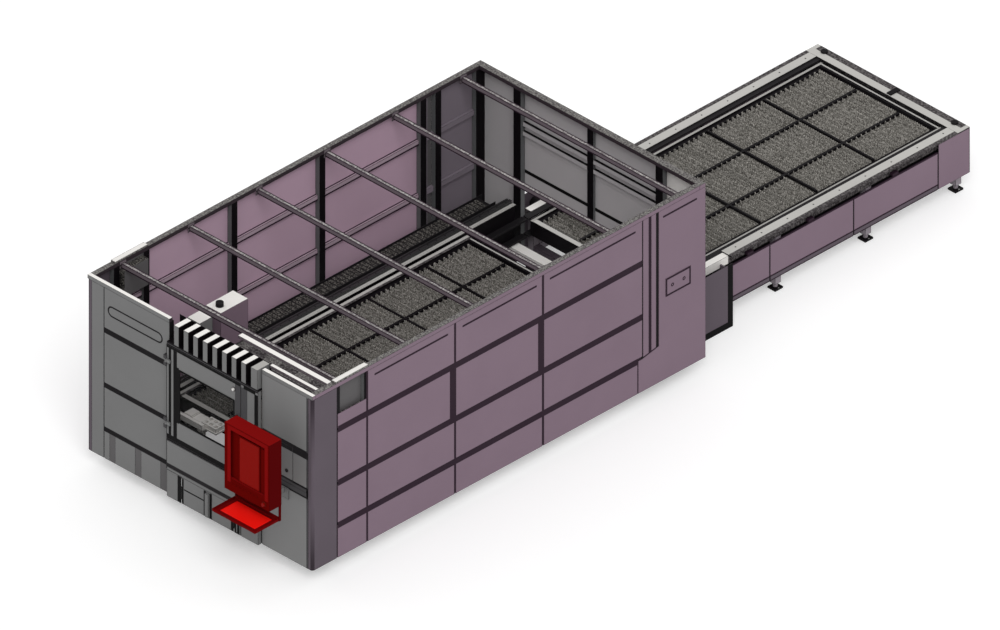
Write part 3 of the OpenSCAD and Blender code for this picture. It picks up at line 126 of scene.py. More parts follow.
def blend(tree, factor, a, b, mode="MIX"):
    """Mixes two colours; a factor or a colour is a value or another node's output."""
    x = tree.nodes.new("ShaderNodeMix")
    x.data_type = "RGBA"
    x.blend_type = mode
    for key, v in (("Factor", factor), ("A", a), ("B", b)):
        if isinstance(v, bpy.types.NodeSocket):
            tree.links.new(v, x.inputs[key])
        else:
            x.inputs[key].default_value = v
    return x.outputs["Result"]


def clouded(tree, clouds, colour, depth):
    """A colour with soft lighter and darker clouds."""
    tone = span(tree, clouds, NOISE, (1 - depth, 1 + depth * 0.7))
    grey = tree.nodes.new("ShaderNodeCombineColor")
    for s in grey.inputs:
        tree.links.new(tone, s)
    return blend(tree, 1.0, rgb(*colour), grey.outputs["Color"], "MULTIPLY")


def spotted(tree, place, base, colours, scale):
    """Dark and light spots over a base colour."""
    dark, light = colours
    spots = noise(tree, place, scale, 2.0)
    base = blend(tree, span(tree, spots, DARK_SPOTS, (1, 0)), base, rgb(*dark))
    return blend(tree, span(tree, spots, LIGHT_SPOTS, (0, 1)), base, rgb(*light))


def brushed(tree, place, base, stretch, colour):
    """Darker lines along a steel part."""
    mapping = tree.nodes.new("ShaderNodeMapping")
    mapping.inputs["Scale"].default_value = stretch
    tree.links.new(place, mapping.inputs["Vector"])
    lines = noise(tree, mapping.outputs["Vector"], 1.0, 3.0)
    darker = rgb(*[c * 0.6 for c in colour])
    return blend(tree, span(tree, lines, STREAKS, (0, STREAK_DEPTH)), base, darker)


def edge_strip(tree, size, strength):
    """Marks the strip beside an edge, where a rounded normal turns from the flat one."""
    bevel = tree.nodes.new("ShaderNodeBevel")
    bevel.samples = 4
    bevel.inputs["Radius"].default_value = size
    flat = tree.nodes.new("ShaderNodeNewGeometry")
    dot = tree.nodes.new("ShaderNodeVectorMath")
    dot.operation = "DOT_PRODUCT"
    tree.links.new(bevel.outputs["Normal"], dot.inputs[0])
    tree.links.new(flat.outputs["True Normal"], dot.inputs[1])
    return span(tree, dot.outputs["Value"], EDGE_TURN, (0, strength))


def grain(tree, place):
    """Normal of a finely grained surface."""
    bump = tree.nodes.new("ShaderNodeBump")
    bump.inputs["Strength"].default_value = 0.04
    bump.inputs["Distance"].default_value = 0.001
    tree.links.new(noise(tree, place, GRAIN_SCALE, 2.0), bump.inputs["Height"])
    return bump.outputs["Normal"]


def material(name, colour, rough=0.5, metal=0.0, edge=0.8, edge_to=(30, 24, 28), edge_size=0.007,
             cloud=0.03, mottle=None, mottle_scale=60, streak=None, spec=0.06):
    """Paint or steel: soft tone clouds, fine surface grain, dark sealed edges, and, where
    asked for, a two-tone mottle or a lengthwise brushing."""
    m, tree, surface = new_material(name)
    surface.inputs["Metallic"].default_value = metal
    surface.inputs["Specular IOR Level"].default_value = spec
    place = object_place(tree)
    clouds = noise(tree, place, CLOUD_SCALE, 4.0)
    out = clouded(tree, clouds, colour, cloud)
    if mottle:
        out = spotted(tree, place, out, mottle, mottle_scale)
    if streak:
        out = brushed(tree, place, out, streak, colour)
    if edge:
        out = blend(tree, edge_strip(tree, edge_size, edge), out, rgb(*edge_to))
    gloss = span(tree, clouds, NOISE, (rough + 0.07, rough - 0.06))
    tree.links.new(out, surface.inputs["Base Color"])
    tree.links.new(gloss, surface.inputs["Roughness"])
    tree.links.new(grain(tree, place), surface.inputs["Normal"])
    return m


M = {
    # Sheet covers
    "front": material("front_paint", (121, 121, 121), edge_to=(22, 22, 22), edge_size=0.009),
    # Painted light: a lighter front paint that cancels the shadow the console casts on the covers
    # behind it
    "front_near": material("right_front_paint_lightened_against_shadow", (130, 130, 130), edge_to=(22, 22, 22)),
    "front_low": material("front_shade_paint", (72, 71, 73), edge_to=(20, 20, 20)),
    # Painted light: a lighter paint for the inner end faces that cancels the shade inside the
    # enclosure
    "front_in": material("inner_end_paint_lightened_against_shade", (188, 185, 186), edge_to=(40, 38, 40)),
    "skirt": material("skirt_paint", (96, 94, 95), edge_to=(20, 20, 20)),
    "side": material("side_paint", (131, 112, 125), edge_to=(44, 28, 40), edge_size=0.009),
    # Painted light: a lighter wall paint for the inner faces that cancels the shade inside the
    # enclosure
    "side_in": material("inner_wall_paint_lightened_against_shade", (194, 165, 183), edge_to=(60, 44, 56)),
    "bay_in": material("inner_bay_paint", (130, 121, 130), edge_to=(30, 24, 30)),
    "plum": material("plum_paint", (96, 87, 95), edge_to=(30, 22, 28), edge_size=0.009),
    "seam": material("seam_paint", (44, 30, 41), edge=0.0),
    # Frame, rails and beams
    "dark": material("dark_paint", (32, 30, 32), edge=0.4, edge_to=(84, 82, 84), edge_size=0.004),
    "black": material("black_paint", (16, 13, 16), edge=0.3, edge_to=(60, 58, 60),
                      edge_size=0.004),
    "post": material("post_paint", (104, 105, 106), edge=0.9, edge_to=(14, 12, 14),
                     edge_size=0.010),
    "rib": material("rib_paint", (176, 156, 168), edge=0.95, edge_to=(40, 26, 36),
                    edge_size=0.014),
    "white": material("pale_paint", (246, 243, 239), edge=0.85, edge_to=(40, 38, 38),
                      edge_size=0.009),
    "lid": material("lid_paint", (238, 235, 231), edge=0.95, edge_to=(46, 44, 44),
                    edge_size=0.016),
    "light": material("light_paint", (176, 174, 170), edge_to=(40, 38, 38), edge_size=0.006),
    "bright": material("strip_paint", (194, 192, 188), edge=0.9, edge_to=(36, 34, 34),
                       edge_size=0.008, cloud=0.05),
    "rail": material("rail_paint", (110, 107, 106), edge=0.9, edge_to=(44, 40, 42),
                     edge_size=0.010, mottle=((76, 72, 72), (138, 136, 132))),
    "rail_in": material("rail_shade_paint", (56, 48, 53), edge=0.9, edge_to=(22, 18, 20),
                        edge_size=0.008),
    "beam": material("beam_paint", (138, 134, 134), edge=0.6, edge_to=(36, 28, 34),
                     edge_size=0.006, mottle=((104, 98, 100), (182, 178, 176))),
    "beam_low": material("beam_shade_paint", (116, 106, 112), edge=0.98, edge_to=(24, 18, 22),
                         edge_size=0.012),
    "mottle": material("mottled_paint", (80, 76, 77), edge=0.9, edge_to=(34, 30, 32),
                       edge_size=0.008, mottle=((54, 50, 51), (108, 104, 104)),
                       mottle_scale=40),
    "leg": material("leg_paint", (150, 142, 149), edge=0.95, edge_to=(26, 20, 26),
                    edge_size=0.014),
    # Steel and plastic
    "chain": material("chain_plastic", (66, 64, 62), edge=0.4, edge_to=(112, 110, 106),
                      edge_size=0.005, mottle=((30, 28, 28), (118, 115, 110)), mottle_scale=64),
    "slat": material("slat_steel", (152, 149, 143), rough=0.6, edge=0.0,
                     mottle=((104, 101, 96), (196, 192, 186)), mottle_scale=70),
    "slat_top": material("slat_edge_steel", (148, 145, 138), rough=0.6, edge=0.0,
                         mottle=((104, 101, 94), (190, 186, 178)), mottle_scale=70),
    "steel": material("machined_steel", (186, 186, 184), rough=0.34, metal=0.9, edge=0.5,
                      edge_to=(70, 70, 70), edge_size=0.003, streak=(4, 300, 300), spec=0.5),
    "guide": material("ground_steel", (70, 69, 70), rough=0.4, metal=0.6,
                      edge_to=(24, 24, 24), edge_size=0.005, streak=(260, 2, 260), spec=0.4),
    "zinc": material("galvanised", (184, 186, 186), rough=0.42, metal=0.7, edge=0.4,
                     mottle=((168, 171, 172), (198, 200, 200)), mottle_scale=14, spec=0.4),
    "rubber": material("seal_rubber", (12, 11, 12), rough=0.8, edge=0.2,
                       edge_to=(50, 50, 50), edge_size=0.003, spec=0.1),
    # Console
    "red": material("console_paint", (128, 16, 16), rough=0.45, spec=0.0, edge=0.6,
                    edge_to=(60, 4, 6), edge_size=0.005),
    "red_dark": material("console_shade_paint", (84, 9, 11), spec=0.0, edge=0.5,
                         edge_to=(34, 2, 5)),
    "red_border": material("console_border_paint", (98, 8, 6), spec=0.0, edge=0.5,
                           edge_to=(40, 2, 4)),
    "red_tray": material("tray_paint", (255, 24, 16), rough=0.42, edge=0.0, cloud=0.02),
    "red_rim": material("tray_rim_paint", (108, 10, 12), rough=0.45, spec=0.0, edge=0.5,
                        edge_to=(54, 2, 6)),
    "screen": material("screen_front", (134, 18, 13), rough=0.22, edge=0.6, edge_to=(60, 4, 6),
                       edge_size=0.008, spec=0.01),
    "button": material("button_plastic", (132, 14, 12), rough=0.3, edge=0.0),
    "collar": material("collar_plastic", (96, 20, 10), rough=0.4, edge=0.0),
}


def glass_material():
    """Dark see-through laser glass with slightly uneven gloss."""
    m, tree, surface = new_material("laser_glass")
    gloss = span(tree, noise(tree, object_place(tree), 2.0, 2.0), (0, 1), (0.04, 0.12))
    tree.links.new(gloss, surface.inputs["Roughness"])
    surface.inputs["Base Color"].default_value = (0.02, 0.02, 0.02, 1)
    surface.inputs["Alpha"].default_value = 0.16
    surface.inputs["IOR"].default_value = 1.3
    surface.inputs["Specular IOR Level"].default_value = 0.1
    return m


M["glass"] = glass_material()
PAINTS = list(M)


# Mesh helpers

def paint(faces, mat):
    """Marks faces with a paint's name; finish_piece turns the mark into the piece's slot."""
    for f in faces:
        f.material_index = PAINTS.index(mat)


def add_box(bm, x, y, z, mat):
    """An axis-parallel block; x, y and z are pairs. Returns its faces."""
    v = [bm.verts.new((a, b, c)) for a in x for b in y for c in z]
    quads = ((0, 1, 3, 2), (4, 6, 7, 5), (0, 4, 5, 1), (2, 3, 7, 6), (0, 2, 6, 4), (1, 5, 7, 3))
    faces = [bm.faces.new([v[i] for i in q]) for q in quads]
    paint(faces, mat)
    return faces


def add_strip(bm, x, y, z, mat):
    """A block whose y is given as distances behind the front face."""
    return add_box(bm, sorted(x), (behind(y[0]), behind(y[1])), z, mat)


AXES = {
    "X": Matrix(((0, 0, 1), (1, 0, 0), (0, 1, 0))),
    "Y": Matrix(((0, 1, 0), (0, 0, 1), (1, 0, 0))),
    "Z": Matrix.Identity(3),
}


def ring_of(bm, axis, outline, height):
    """Corners of an outline at one height of an axis; its points lie across that axis, in
    the order of the two next axes."""
    return [bm.verts.new(AXES[axis] @ Vector((u, v, height))) for u, v in outline]


def join_rings(bm, low, high):
    """The faces between two rings of corners."""
    n = len(low)
    return [bm.faces.new((low[i], low[(i + 1) % n], high[(i + 1) % n], high[i]))
            for i in range(n)]


def add_prism(bm, outline, axis, a, b, mat):
    """A prism between two heights of an axis. Returns its faces."""
    low, high = ring_of(bm, axis, outline, a), ring_of(bm, axis, outline, b)
    faces = [bm.faces.new(low[::-1]), bm.faces.new(high)] + join_rings(bm, low, high)
    paint(faces, mat)
    return faces


def add_frame(bm, axis, outer, inner, a, b, mat):
    """A flat frame between two outlines with the same number of points."""
    rings = [ring_of(bm, axis, line, h)
             for line, h in ((inner, a), (outer, a), (outer, b), (inner, b))]
    for k in range(4):
        paint(join_rings(bm, rings[k], rings[(k + 1) % 4]), mat)


def circle(u, v, r, count):
    """Outline of a circle."""
    return [(u + r * math.cos(2 * math.pi * i / count), v + r * math.sin(2 * math.pi * i / count))
            for i in range(count)]


def add_rod(bm, axis, at, r, a, b, mat, count=24):
    """A round bar from a to b along an axis."""
    return add_prism(bm, circle(*at, r, count), axis, a, b, mat)


def add_ring(bm, axis, at, r0, r1, a, b, mat, count=32):
    """A flat ring or tube between two radii."""
    add_frame(bm, axis, circle(*at, r1, count), circle(*at, r0, count), a, b, mat)


def rounded(u0, u1, v0, v1, r, steps=5):
    """Outline of a rectangle with round corners."""
    pts = []
    for cu, cv, a0 in ((u1 - r, v1 - r, 0), (u0 + r, v1 - r, 90), (u0 + r, v0 + r, 180),
                       (u1 - r, v0 + r, 270)):
        for i in range(steps + 1):
            a = math.radians(a0 + 90 * i / steps)
            pts.append((cu + r * math.cos(a), cv + r * math.sin(a)))
    return pts


def add_bolt(bm, at, z, r, t):
    """An upright hexagon bolt's head on its washer."""
    washer = z + 0.002
    add_rod(bm, "Z", at, r * 1.3, z, washer, "steel", 16)
    add_rod(bm, "Z", at, r, washer, washer + t, "steel", 6)


def finish_piece(name, bm, mats, body, nodes=(), bevel=0.0015):
    """Makes the piece's object, which rides on a body and replaces the given nodes; mats
    names its paints."""
    names = mats.split()
    for f in bm.faces:
        f.material_index = names.index(PAINTS[f.material_index])
    bmesh.ops.recalc_face_normals(bm, faces=bm.faces)
    me = bpy.data.meshes.new(name)
    bm.to_mesh(me)
    bm.free()
    for m in names:
        me.materials.append(M[m])
    o = bpy.data.objects.new(name, me)
    bpy.context.scene.collection.objects.link(o)
    if bevel:
        mod = o.modifiers.new("edges", "BEVEL")
        mod.width = bevel
        mod.segments = 2
        mod.limit_method = "ANGLE"
        mod.angle_limit = math.radians(40)
    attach(o, body)
    if nodes:
        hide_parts(*nodes)


def dress(node, mats, rule, bevel=0.0015, more=None):
    """The node's own shape with rounded edges and a paint for each face; rule gives the
    paint's name from a face's normal and middle, and more adds details."""
    bm = bmesh.new()
    bm.from_mesh(frame["nodes"][node].data)
    bmesh.ops.remove_doubles(bm, verts=bm.verts, dist=1e-5)
    bmesh.ops.dissolve_limit(bm, angle_limit=math.radians(1), verts=bm.verts, edges=bm.edges)
    for f in bm.faces:
        paint([f], rule(f.normal, f.calc_center_median()))
    if more:
        more(bm)
    finish_piece("dressed_" + node, bm, mats, BODY[node], [node], bevel)


def show(nodes, mat):
    """CAD nodes that are shown as they are get their paint."""
    for n in nodes.split():
        me = frame["nodes"][n].data
        me.materials.clear()
        me.materials.append(M[mat])


show("front_door middle_front_covers console_arm", "front")
# The covers behind the console get the lighter paint, a painted light against the console's
# shadow
show("right_front_covers key_door", "front_near")
show("slag_chutes carriage", "plum")
show("interface_plates", "side")
show("door_hinges", "front_low")
show("base_frame bed_feet front_frame chain_drive pallet_rails key_lock", "dark")
show("door_handle gantry_end_plates cable_tray", "dark")
show("bed_cross_beams nozzle_station", "white")
show("cutting_head carriage_pinion", "steel")
show("upper_front_axle upper_rear_axle lower_front_axle lower_rear_axle", "steel")
show("extraction_duct", "zinc")
show("front_window", "glass")


# Which way a face looks

FACING = 0.7                                # share of the normal that counts as facing a way


def up(n):
    return n.z > FACING


def front(n):
    return n.y < -FACING


def sideways(n):
    return abs(n.x) > FACING


def outward(n, c):
    """Whether a face on the left or the right looks away from the middle."""
    return n.x * c.x > 0


# Side walls, ribs and posts

POST_W = 0.080
POSTS = (0.304, 0.718, 1.937, 3.156, 4.558)     # front edges of the side walls' posts
SEAMS = [y + POST_W / 2 for y in POSTS[1:4]]    # upright seams between the walls' sheets
NARROW_BAY = (4.58, 4.78)                       # between the rear bay and the bays before it


def wall_rule(n, c):
    """One paint outside; inside, the bays differ, and the main bays get the wall paint lightened
    against the shade inside as painted light.
    """
    y = c.y - FRONT
    if outward(n, c) or not sideways(n):
        return "side"
    if NARROW_BAY[0] < y < NARROW_BAY[1]:
        return "skirt"
    return "bay_in" if y > NARROW_BAY[1] else "side_in"


dress("left_wall_sheets", "side side_in bay_in skirt", wall_rule)
dress("right_wall_sheets", "side side_in bay_in skirt", wall_rule)


def ribs_rule(n, c):
    """The side walls' ribs have dark backs; the rear wall's are pale towards the front, with the
    paint lightened against the shade inside as painted light.
    """
    if abs(c.x) > 1.5:
        if outward(n, c) and sideways(n):
            return "seam"
        return "bay_in" if c.y > behind(4.6) else "rib"
    return "front_in" if front(n) else "black"


def rib_lines(bm):
    """Dark lines along the upper and lower edges of the side walls' ribs."""
    inner = WALL - 0.038
    for y in [(a + POST_W, b) for a, b in zip(POSTS, POSTS[1:])]:
        for z in (0.545, 1.020, 1.650):
            for s in SIDES:
                add_strip(bm, (s * inner, s * (inner + 0.0015)), y, (z + 0.0004, z + 0.018),
                          "seam")
                add_strip(bm, (s * (inner + 0.020), s * (inner + 0.0345)), y,
                          (z + 0.0595, z + 0.0608), "seam")


dress("wall_ribs", "rib seam front_in black bay_in", ribs_rule, more=rib_lines)


def posts_rule(n, c):
    """The side walls' posts are grey towards the front, and the rear wall's black there."""
    side_wall = abs(c.x) > 1.45
    return "post" if front(n) == side_wall else "black"


dress("wall_posts", "post black", posts_rule)


def side_trim():
    """Grip lines near the top of each wall bay, and the wide seams between the sheets."""
    bm = bmesh.new()
    grip_z, foot, head = (2.078, 2.100), 0.190, 2.170
    upper, middle, lower = (1.642, 1.716), (1.017, 1.090), (0.522, 0.594)
    for s in SIDES:
        a, b = sorted((s * (WALL - 0.001), s * (WALL + 0.0012)))
        for y0, y1 in ((0.86, 1.88), (2.08, 3.11), (3.29, 4.48), (4.86, 5.33)):
            add_prism(bm, rounded(behind(y0), behind(y1), *grip_z, 0.008, 3), "X", a, b, "seam")
        for z, rear in ((upper, 4.5715), (middle, 4.5715), (lower, 4.505)):
            add_strip(bm, (a, b - 0.0004), (0.354, rear), z, "seam")
        for y, half in zip(SEAMS, (0.013, 0.014, 0.015)):
            add_strip(bm, (a, b - 0.0002), (y - half, y + half), (foot, head), "seam")
        for y in ((1.905, 1.992), (3.128, 3.212)):
            add_strip(bm, (a, b), y, (middle[1], upper[0]), "seam")
    finish_piece("wall_grip_strips", bm, "seam", "machine", bevel=0)


# Rear wall, front corners, top rails and roof beams

def rear_rule(n, c):
    """Grey outside; pale inside and palest at the right end, both paints lightened against the
    shade inside the enclosure as painted light.
    """
    if not front(n):
        return "front"
    return "white" if c.x > 0.98 else "front_in"


dress("rear_wall_sheets", "front front_in white", rear_rule)


def lift_door_line(bm):
    """Dark seal line across the lift door, between the rear posts."""
    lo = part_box("rear_lift_door")[0]
    for s in SIDES:
        add_box(bm, sorted((s * 0.043, s * 0.934)), (lo.y - 0.0028, lo.y + 0.0002),
                (lo.z + 0.136, lo.z + 0.174), "rubber")


# The door's inner face gets the paint lightened against the shade inside, a painted light
dress("rear_lift_door", "front front_in rubber", lambda n, c: "front_in" if front(n) else "front",
      more=lift_door_line)


def corner_rule(n, c):
    """Plum outside; the casing in the sunk service bay has its own paints."""
    if c.z > 1.8 and abs(c.x) < WALL - 0.01 and c.y > behind(0.35):
        return "skirt" if sideways(n) else "chain"
    return "plum"


dress("corner_covers", "plum chain skirt", corner_rule)


def rails_rule(n, c):
    """The raised lids and the front rail are painted pale on top as painted light, and the inner
    faces dark as painted shade.
    """
    if c.z > 2.2201:
        return "lid" if up(n) else "rail"
    if up(n):
        return "white" if c.y < behind(0.05) else "rail"
    if front(n) and c.y < behind(0.01):
        return "front"
    if outward(n, c) and sideways(n):
        return "side"
    return "rail_in" if n.x * c.x < 0 or abs(n.y) > FACING or n.z < -FACING else "rail"


dress("top_rails", "rail white rail_in lid front side", rails_rule)


def struts_rule(n, c):
    """The raised parts at the front are white on top and the other tops get the lighter beam
    paint, as painted light; all other faces get the darker shade paint as painted shade.
    """
    if c.z > 2.2 and up(n) and c.y < behind(0.34):
        return "white"
    return "beam" if up(n) else "beam_low"


def strut_ends(bm):
    """Dark edges of the roof beams, and end plates with two bolts where they meet the rails."""
    lo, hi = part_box("roof_struts")
    count, first, pitch, width, band = 6, 0.400, 0.944, 0.050, 0.012
    along = (lo.x + 0.008, hi.x - 0.008)
    top = hi.z - 0.030
    for i in range(count):
        y = first + i * pitch
        for edge in (y, y + width - band):
            add_strip(bm, along, (edge, edge + band), (top - 0.0005, top + 0.0008), "seam")
        add_strip(bm, along, (y - 0.0008, y + 0.0005), (lo.z + 0.0005, lo.z + 0.014), "seam")
        for s in SIDES:
            add_strip(bm, (s * (hi.x - 0.006), s * hi.x), (y - 0.020, y + width + 0.020),
                      (hi.z - 0.092, hi.z - 0.002), "beam_low")
            ends = sorted((s * (hi.x - 0.012), s * (hi.x - 0.005)))
            for bolt in (y - 0.008, y + width + 0.008):
                add_rod(bm, "X", (behind(bolt), hi.z - 0.045), 0.006, *ends, "beam_low", 8)


dress("roof_struts", "beam white beam_low seam", struts_rule, more=strut_ends)


# Front covers, drawer and ventilation

COVER = -0.045                              # face of the middle covers, behind the front face
SEAM_TOP = 1.118                            # wide seam of the right panels
SEAM_LINE = SEAM_TOP - 0.020                # lower edge of its dark upper line


def vent_rule(n, c):
    """The fins are painted white on top as painted light and grey in front, and all below and
    behind them is painted black as painted shade.
    """
    below, at_back = c.z < 1.9915, c.y > behind(0.134)
    if below or at_back:
        return "black"
    if up(n):
        return "white"
    return "front" if front(n) else "black"


dress("vent_baffles", "front black white", vent_rule)


def left_front_rule(n, c):
    sunk_skirt = c.z < 0.5 and c.y > FRONT + 0.0005
    return "skirt" if front(n) and sunk_skirt else "front"


def groove_lines(bm):
    """The dark outline of the long shallow recess in the upper left panel."""
    x0, x1, z0, z1 = -1.276, -0.520, 1.876, 1.996
    over, band, steps = 0.002, 0.013, 8
    outer = rounded(z0 - over, z1 + over, x0 - over, x1 + over, 0.061, steps)
    inner = rounded(z0 + band, z1 - band, x0 + band, x1 - band, 0.047, steps)
    add_frame(bm, "Y", outer, inner, FRONT - 0.0012, FRONT + 0.0004, "black")


dress("left_front_covers", "front skirt black", left_front_rule, more=groove_lines)
dress("slag_drawer", "front dark", lambda n, c: "front" if c.y < behind(-0.04) else "dark")


def middle_trim(bm):
    """Dark uprights, pillar shades and wide seams of the middle covers."""
    uprights, pillar = (0.190, 0.485), (0.875, 1.925)
    for x in ((-0.262, -0.2165), (0.523, 0.592)):
        add_strip(bm, x, (COVER - 0.004, COVER), uprights, "rubber")
    add_strip(bm, (0.553, 0.566), (COVER - 0.0055, COVER - 0.003), (0.200, 0.475), "front")
    add_strip(bm, (0.6155, 0.700), (COVER - 0.0012, COVER), pillar, "front_low")
    add_strip(bm, (0.800, 0.8495), (COVER - 0.0012, COVER), pillar, "rubber")
    add_strip(bm, (0.655, 0.812), (COVER - 0.006, COVER), (1.925, 1.962), "rubber")
    add_strip(bm, (-0.4245, -0.4155), (COVER + 0.0035, COVER + 0.040), (0.50, 1.95), "rubber")


def front_seams(bm):
    """Wide dark seams of the left panels, the middle panels and the right panels."""
    back = 0.0005
    for z in ((0.498, 0.552), (1.008, 1.068), (1.648, 1.712)):
        add_strip(bm, (-1.333, -0.426), (-0.0009, back), z, "black")
    full, door = (-0.414, 0.849), (-0.414, 0.612)
    for x, z, out, mat in ((full, (0.524, 0.570), 0.0012, "dark"),
                           (door, (0.838, 0.8585), 0.0012, "black"),
                           (full, (1.952, 1.9895), 0.0012, "black"),
                           (full, (1.966, 1.976), 0.0018, "front_low")):
        add_strip(bm, x, (COVER - out, COVER + 0.0004), z, mat)
    full, beside, above = (0.862, 1.497), (1.287, 1.497), (0.862, 1.286)
    for x, z, out, mat in ((full, (0.990, 1.060), 0.0009, "front_low"),
                           (beside, (1.0605, SEAM_TOP), 0.0009, "front_low"),
                           (full, (0.990, 1.008), 0.0015, "black"),
                           (beside, (SEAM_LINE, SEAM_TOP), 0.0015, "black"),
                           (beside, (1.450, 1.532), 0.0015, "dark"),
                           (above, (1.500, 1.532), 0.0015, "dark"),
                           ((1.476, 1.4995), (0.185, 2.170), 0.0009, "front_low")):
        add_strip(bm, x, (-out, back), z, mat)


def front_trim():
    """Trim of the fixed front covers."""
    bm = bmesh.new()
    middle_trim(bm)
    front_seams(bm)
    finish_piece("front_trim", bm, "rubber front front_low black dark", "machine",
                 bevel=0.0006)


def drawer_trim():
    """Dark uprights on the slag drawer's front, and the line between two of them."""
    bm = bmesh.new()
    for x in ((-0.2035, -0.182), (0.478, 0.5105), (0.100, 0.130), (0.184, 0.210)):
        add_strip(bm, x, (COVER - 0.004, COVER), (0.190, 0.480), "rubber")
    add_strip(bm, (-0.175, 0.098), (COVER - 0.002, COVER), (0.352, 0.366), "rubber")
    finish_piece("drawer_trim", bm, "rubber", "slag_drawer", bevel=0.0006)


def key_door_bands():
    """The wide seams of the right panels where they cross the small door."""
    bm = bmesh.new()
    lo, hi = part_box("key_door")
    for z, out, mat in (((hi.z - 0.048, hi.z - 0.001), 0.0015, "dark"),
                        ((lo.z + 0.001, SEAM_TOP), 0.0009, "front_low"),
                        ((SEAM_LINE, SEAM_TOP), 0.0015, "dark")):
        add_strip(bm, (lo.x + 0.002, hi.x - 0.002), (-out, 0.0005), z, mat)
    finish_piece("key_door_bands", bm, "front_low dark", "key_door", bevel=0)


def vent_end():
    """Plain block that closes the row of fins on the right."""
    bm = bmesh.new()
    for f in add_strip(bm, (0.750, 0.838), (-0.044, 0.130), (1.974, 2.219), "front"):
        f.normal_update()
        # The top and bottom get the lighter paint, a painted light on the top face
        if abs(f.normal.z) > FACING:
            paint([f], "light")
    finish_piece("vent_end_block", bm, "front light", "machine")


front_trim()
drawer_trim()
key_door_bands()
vent_end()
side_trim()


# Exchange table

def table_rule(n, c):
    stops, foot_plates = c.z > 0.722, c.z < 0.021
    if stops or foot_plates:
        return "black"
    if c.z > 0.60:
        return "mottle" if sideways(n) or front(n) else "plum"
    if sideways(n) and abs(c.x) > 1.04:
        return "black"
    return "leg" if abs(c.x) > 0.9 else "plum"


def table_more(bm):
    """White covers on the beams' front ends, and dark gap strips above the side panels."""
    for s in SIDES:
        add_strip(bm, (s * 0.9252, s * 1.0068), (5.515, 6.318), (0.6192, 0.7112), "white")
        add_strip(bm, (s * 1.0400, s * 1.0532), (6.330, 9.180), (0.584, 0.624), "seam")


dress("table_frame", "plum leg mottle black white seam", table_rule, more=table_more)


def panels_rule(n, c):
    if c.z > 0.62:
        return "seam"                       # the hooks behind the gap above the panels
    return "side" if sideways(n) or n.y > FACING else "plum"


def panels_more(bm):
    """Dark lower band of the first three panels of each side, between two seam lines."""
    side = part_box("table_side_panels")[1].x
    seams = (6.320, 6.848, 8.0096, 9.1811)
    gap = 0.0072
    for s in SIDES:
        for a, b in zip(seams, seams[1:]):
            for z, out, mat in (((0.1905, 0.252), 0.0012, "plum"),
                                ((0.240, 0.2535), 0.0022, "seam"),
                                ((0.1902, 0.201), 0.0022, "seam")):
                add_strip(bm, (s * (side - 0.001), s * (side + out)), (a + gap, b - gap), z, mat)


dress("table_side_panels", "side plum seam", panels_rule, more=panels_more)


def strips_more(bm):
    """Mottled outer and rear bands of the table's top strips, and countersunk screws."""
    lo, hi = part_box("table_top_strips")
    over = hi.z + 0.0008
    for s in SIDES:
        add_box(bm, sorted((s * (hi.x - 0.046), s * (hi.x + 0.0006))), (lo.y, hi.y - 0.165),
                (lo.z, over), "mottle")
        y = lo.y + 0.15
        while y < hi.y - 0.2:
            add_rod(bm, "Z", (s * 0.955, y), 0.008, hi.z - 0.001, over, "dark", 12)
            y += 0.36
    add_box(bm, (lo.x + 0.05, hi.x - 0.05), (hi.y - 0.075, hi.y + 0.0006), (lo.z, over), "mottle")


dress("table_top_strips", "bright mottle dark", lambda n, c: "bright" if up(n) else "dark",
      more=strips_more)


def guard_more(bm):
    """Black border at the rear end and along the bottom of the guards."""
    lo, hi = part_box("guard_plates")
    band = 0.070
    for s in SIDES:
        x = sorted((s * (hi.x - 0.001), s * (hi.x + 0.0012)))
        add_box(bm, x, (hi.y - band, hi.y + 0.0002), (lo.z + 0.004, hi.z - 0.0005), "rubber")
        add_box(bm, x, (lo.y + 0.0046, hi.y - band + 0.001), (lo.z + 0.004, lo.z + 0.076),
                "rubber")


dress("guard_plates", "plum rubber", lambda n, c: "plum", more=guard_more)


# Bed and pallets

def bed_rule(n, c):
    return "black" if up(n) or n.x * c.x < 0 else "light"


def bed_more(bm):
    """Light strip along the inner edge of each side beam's top."""
    lo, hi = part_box("bed_side_beams")
    for s in SIDES:
        add_box(bm, sorted((s * 0.906, s * 0.954)), (lo.y, hi.y), (hi.z - 0.003, hi.z + 0.001),
                "bright")


dress("bed_side_beams", "light black bright", bed_rule, more=bed_more)


def pallet(level, rail):
    """A pallet's frame with light end strips; rail is the paint of its side rails' tops."""
    node = level + "_pallet_frame"
    lo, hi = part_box(node)

    def rule(n, c):
        return rail if up(n) and abs(c.x) > 0.811 else "black"

    def more(bm):
        for y, wide in ((lo.y + 0.004, 0.058), (hi.y - 0.032, 0.020)):
            add_box(bm, (lo.x + 0.03, hi.x - 0.03), (y, y + wide), (hi.z - 0.001, hi.z + 0.001),
                    "bright")
        if level == "upper":
            # Thin flanges beside the rails
            for s in SIDES:
                add_box(bm, sorted((s * 0.8385, s * 0.878)), (lo.y, hi.y),
                        (hi.z - 0.006, hi.z + 0.0005), "bright")

    dress(node, rail + " black bright", rule, more=more)


pallet("upper", "mottle")
pallet("lower", "light")


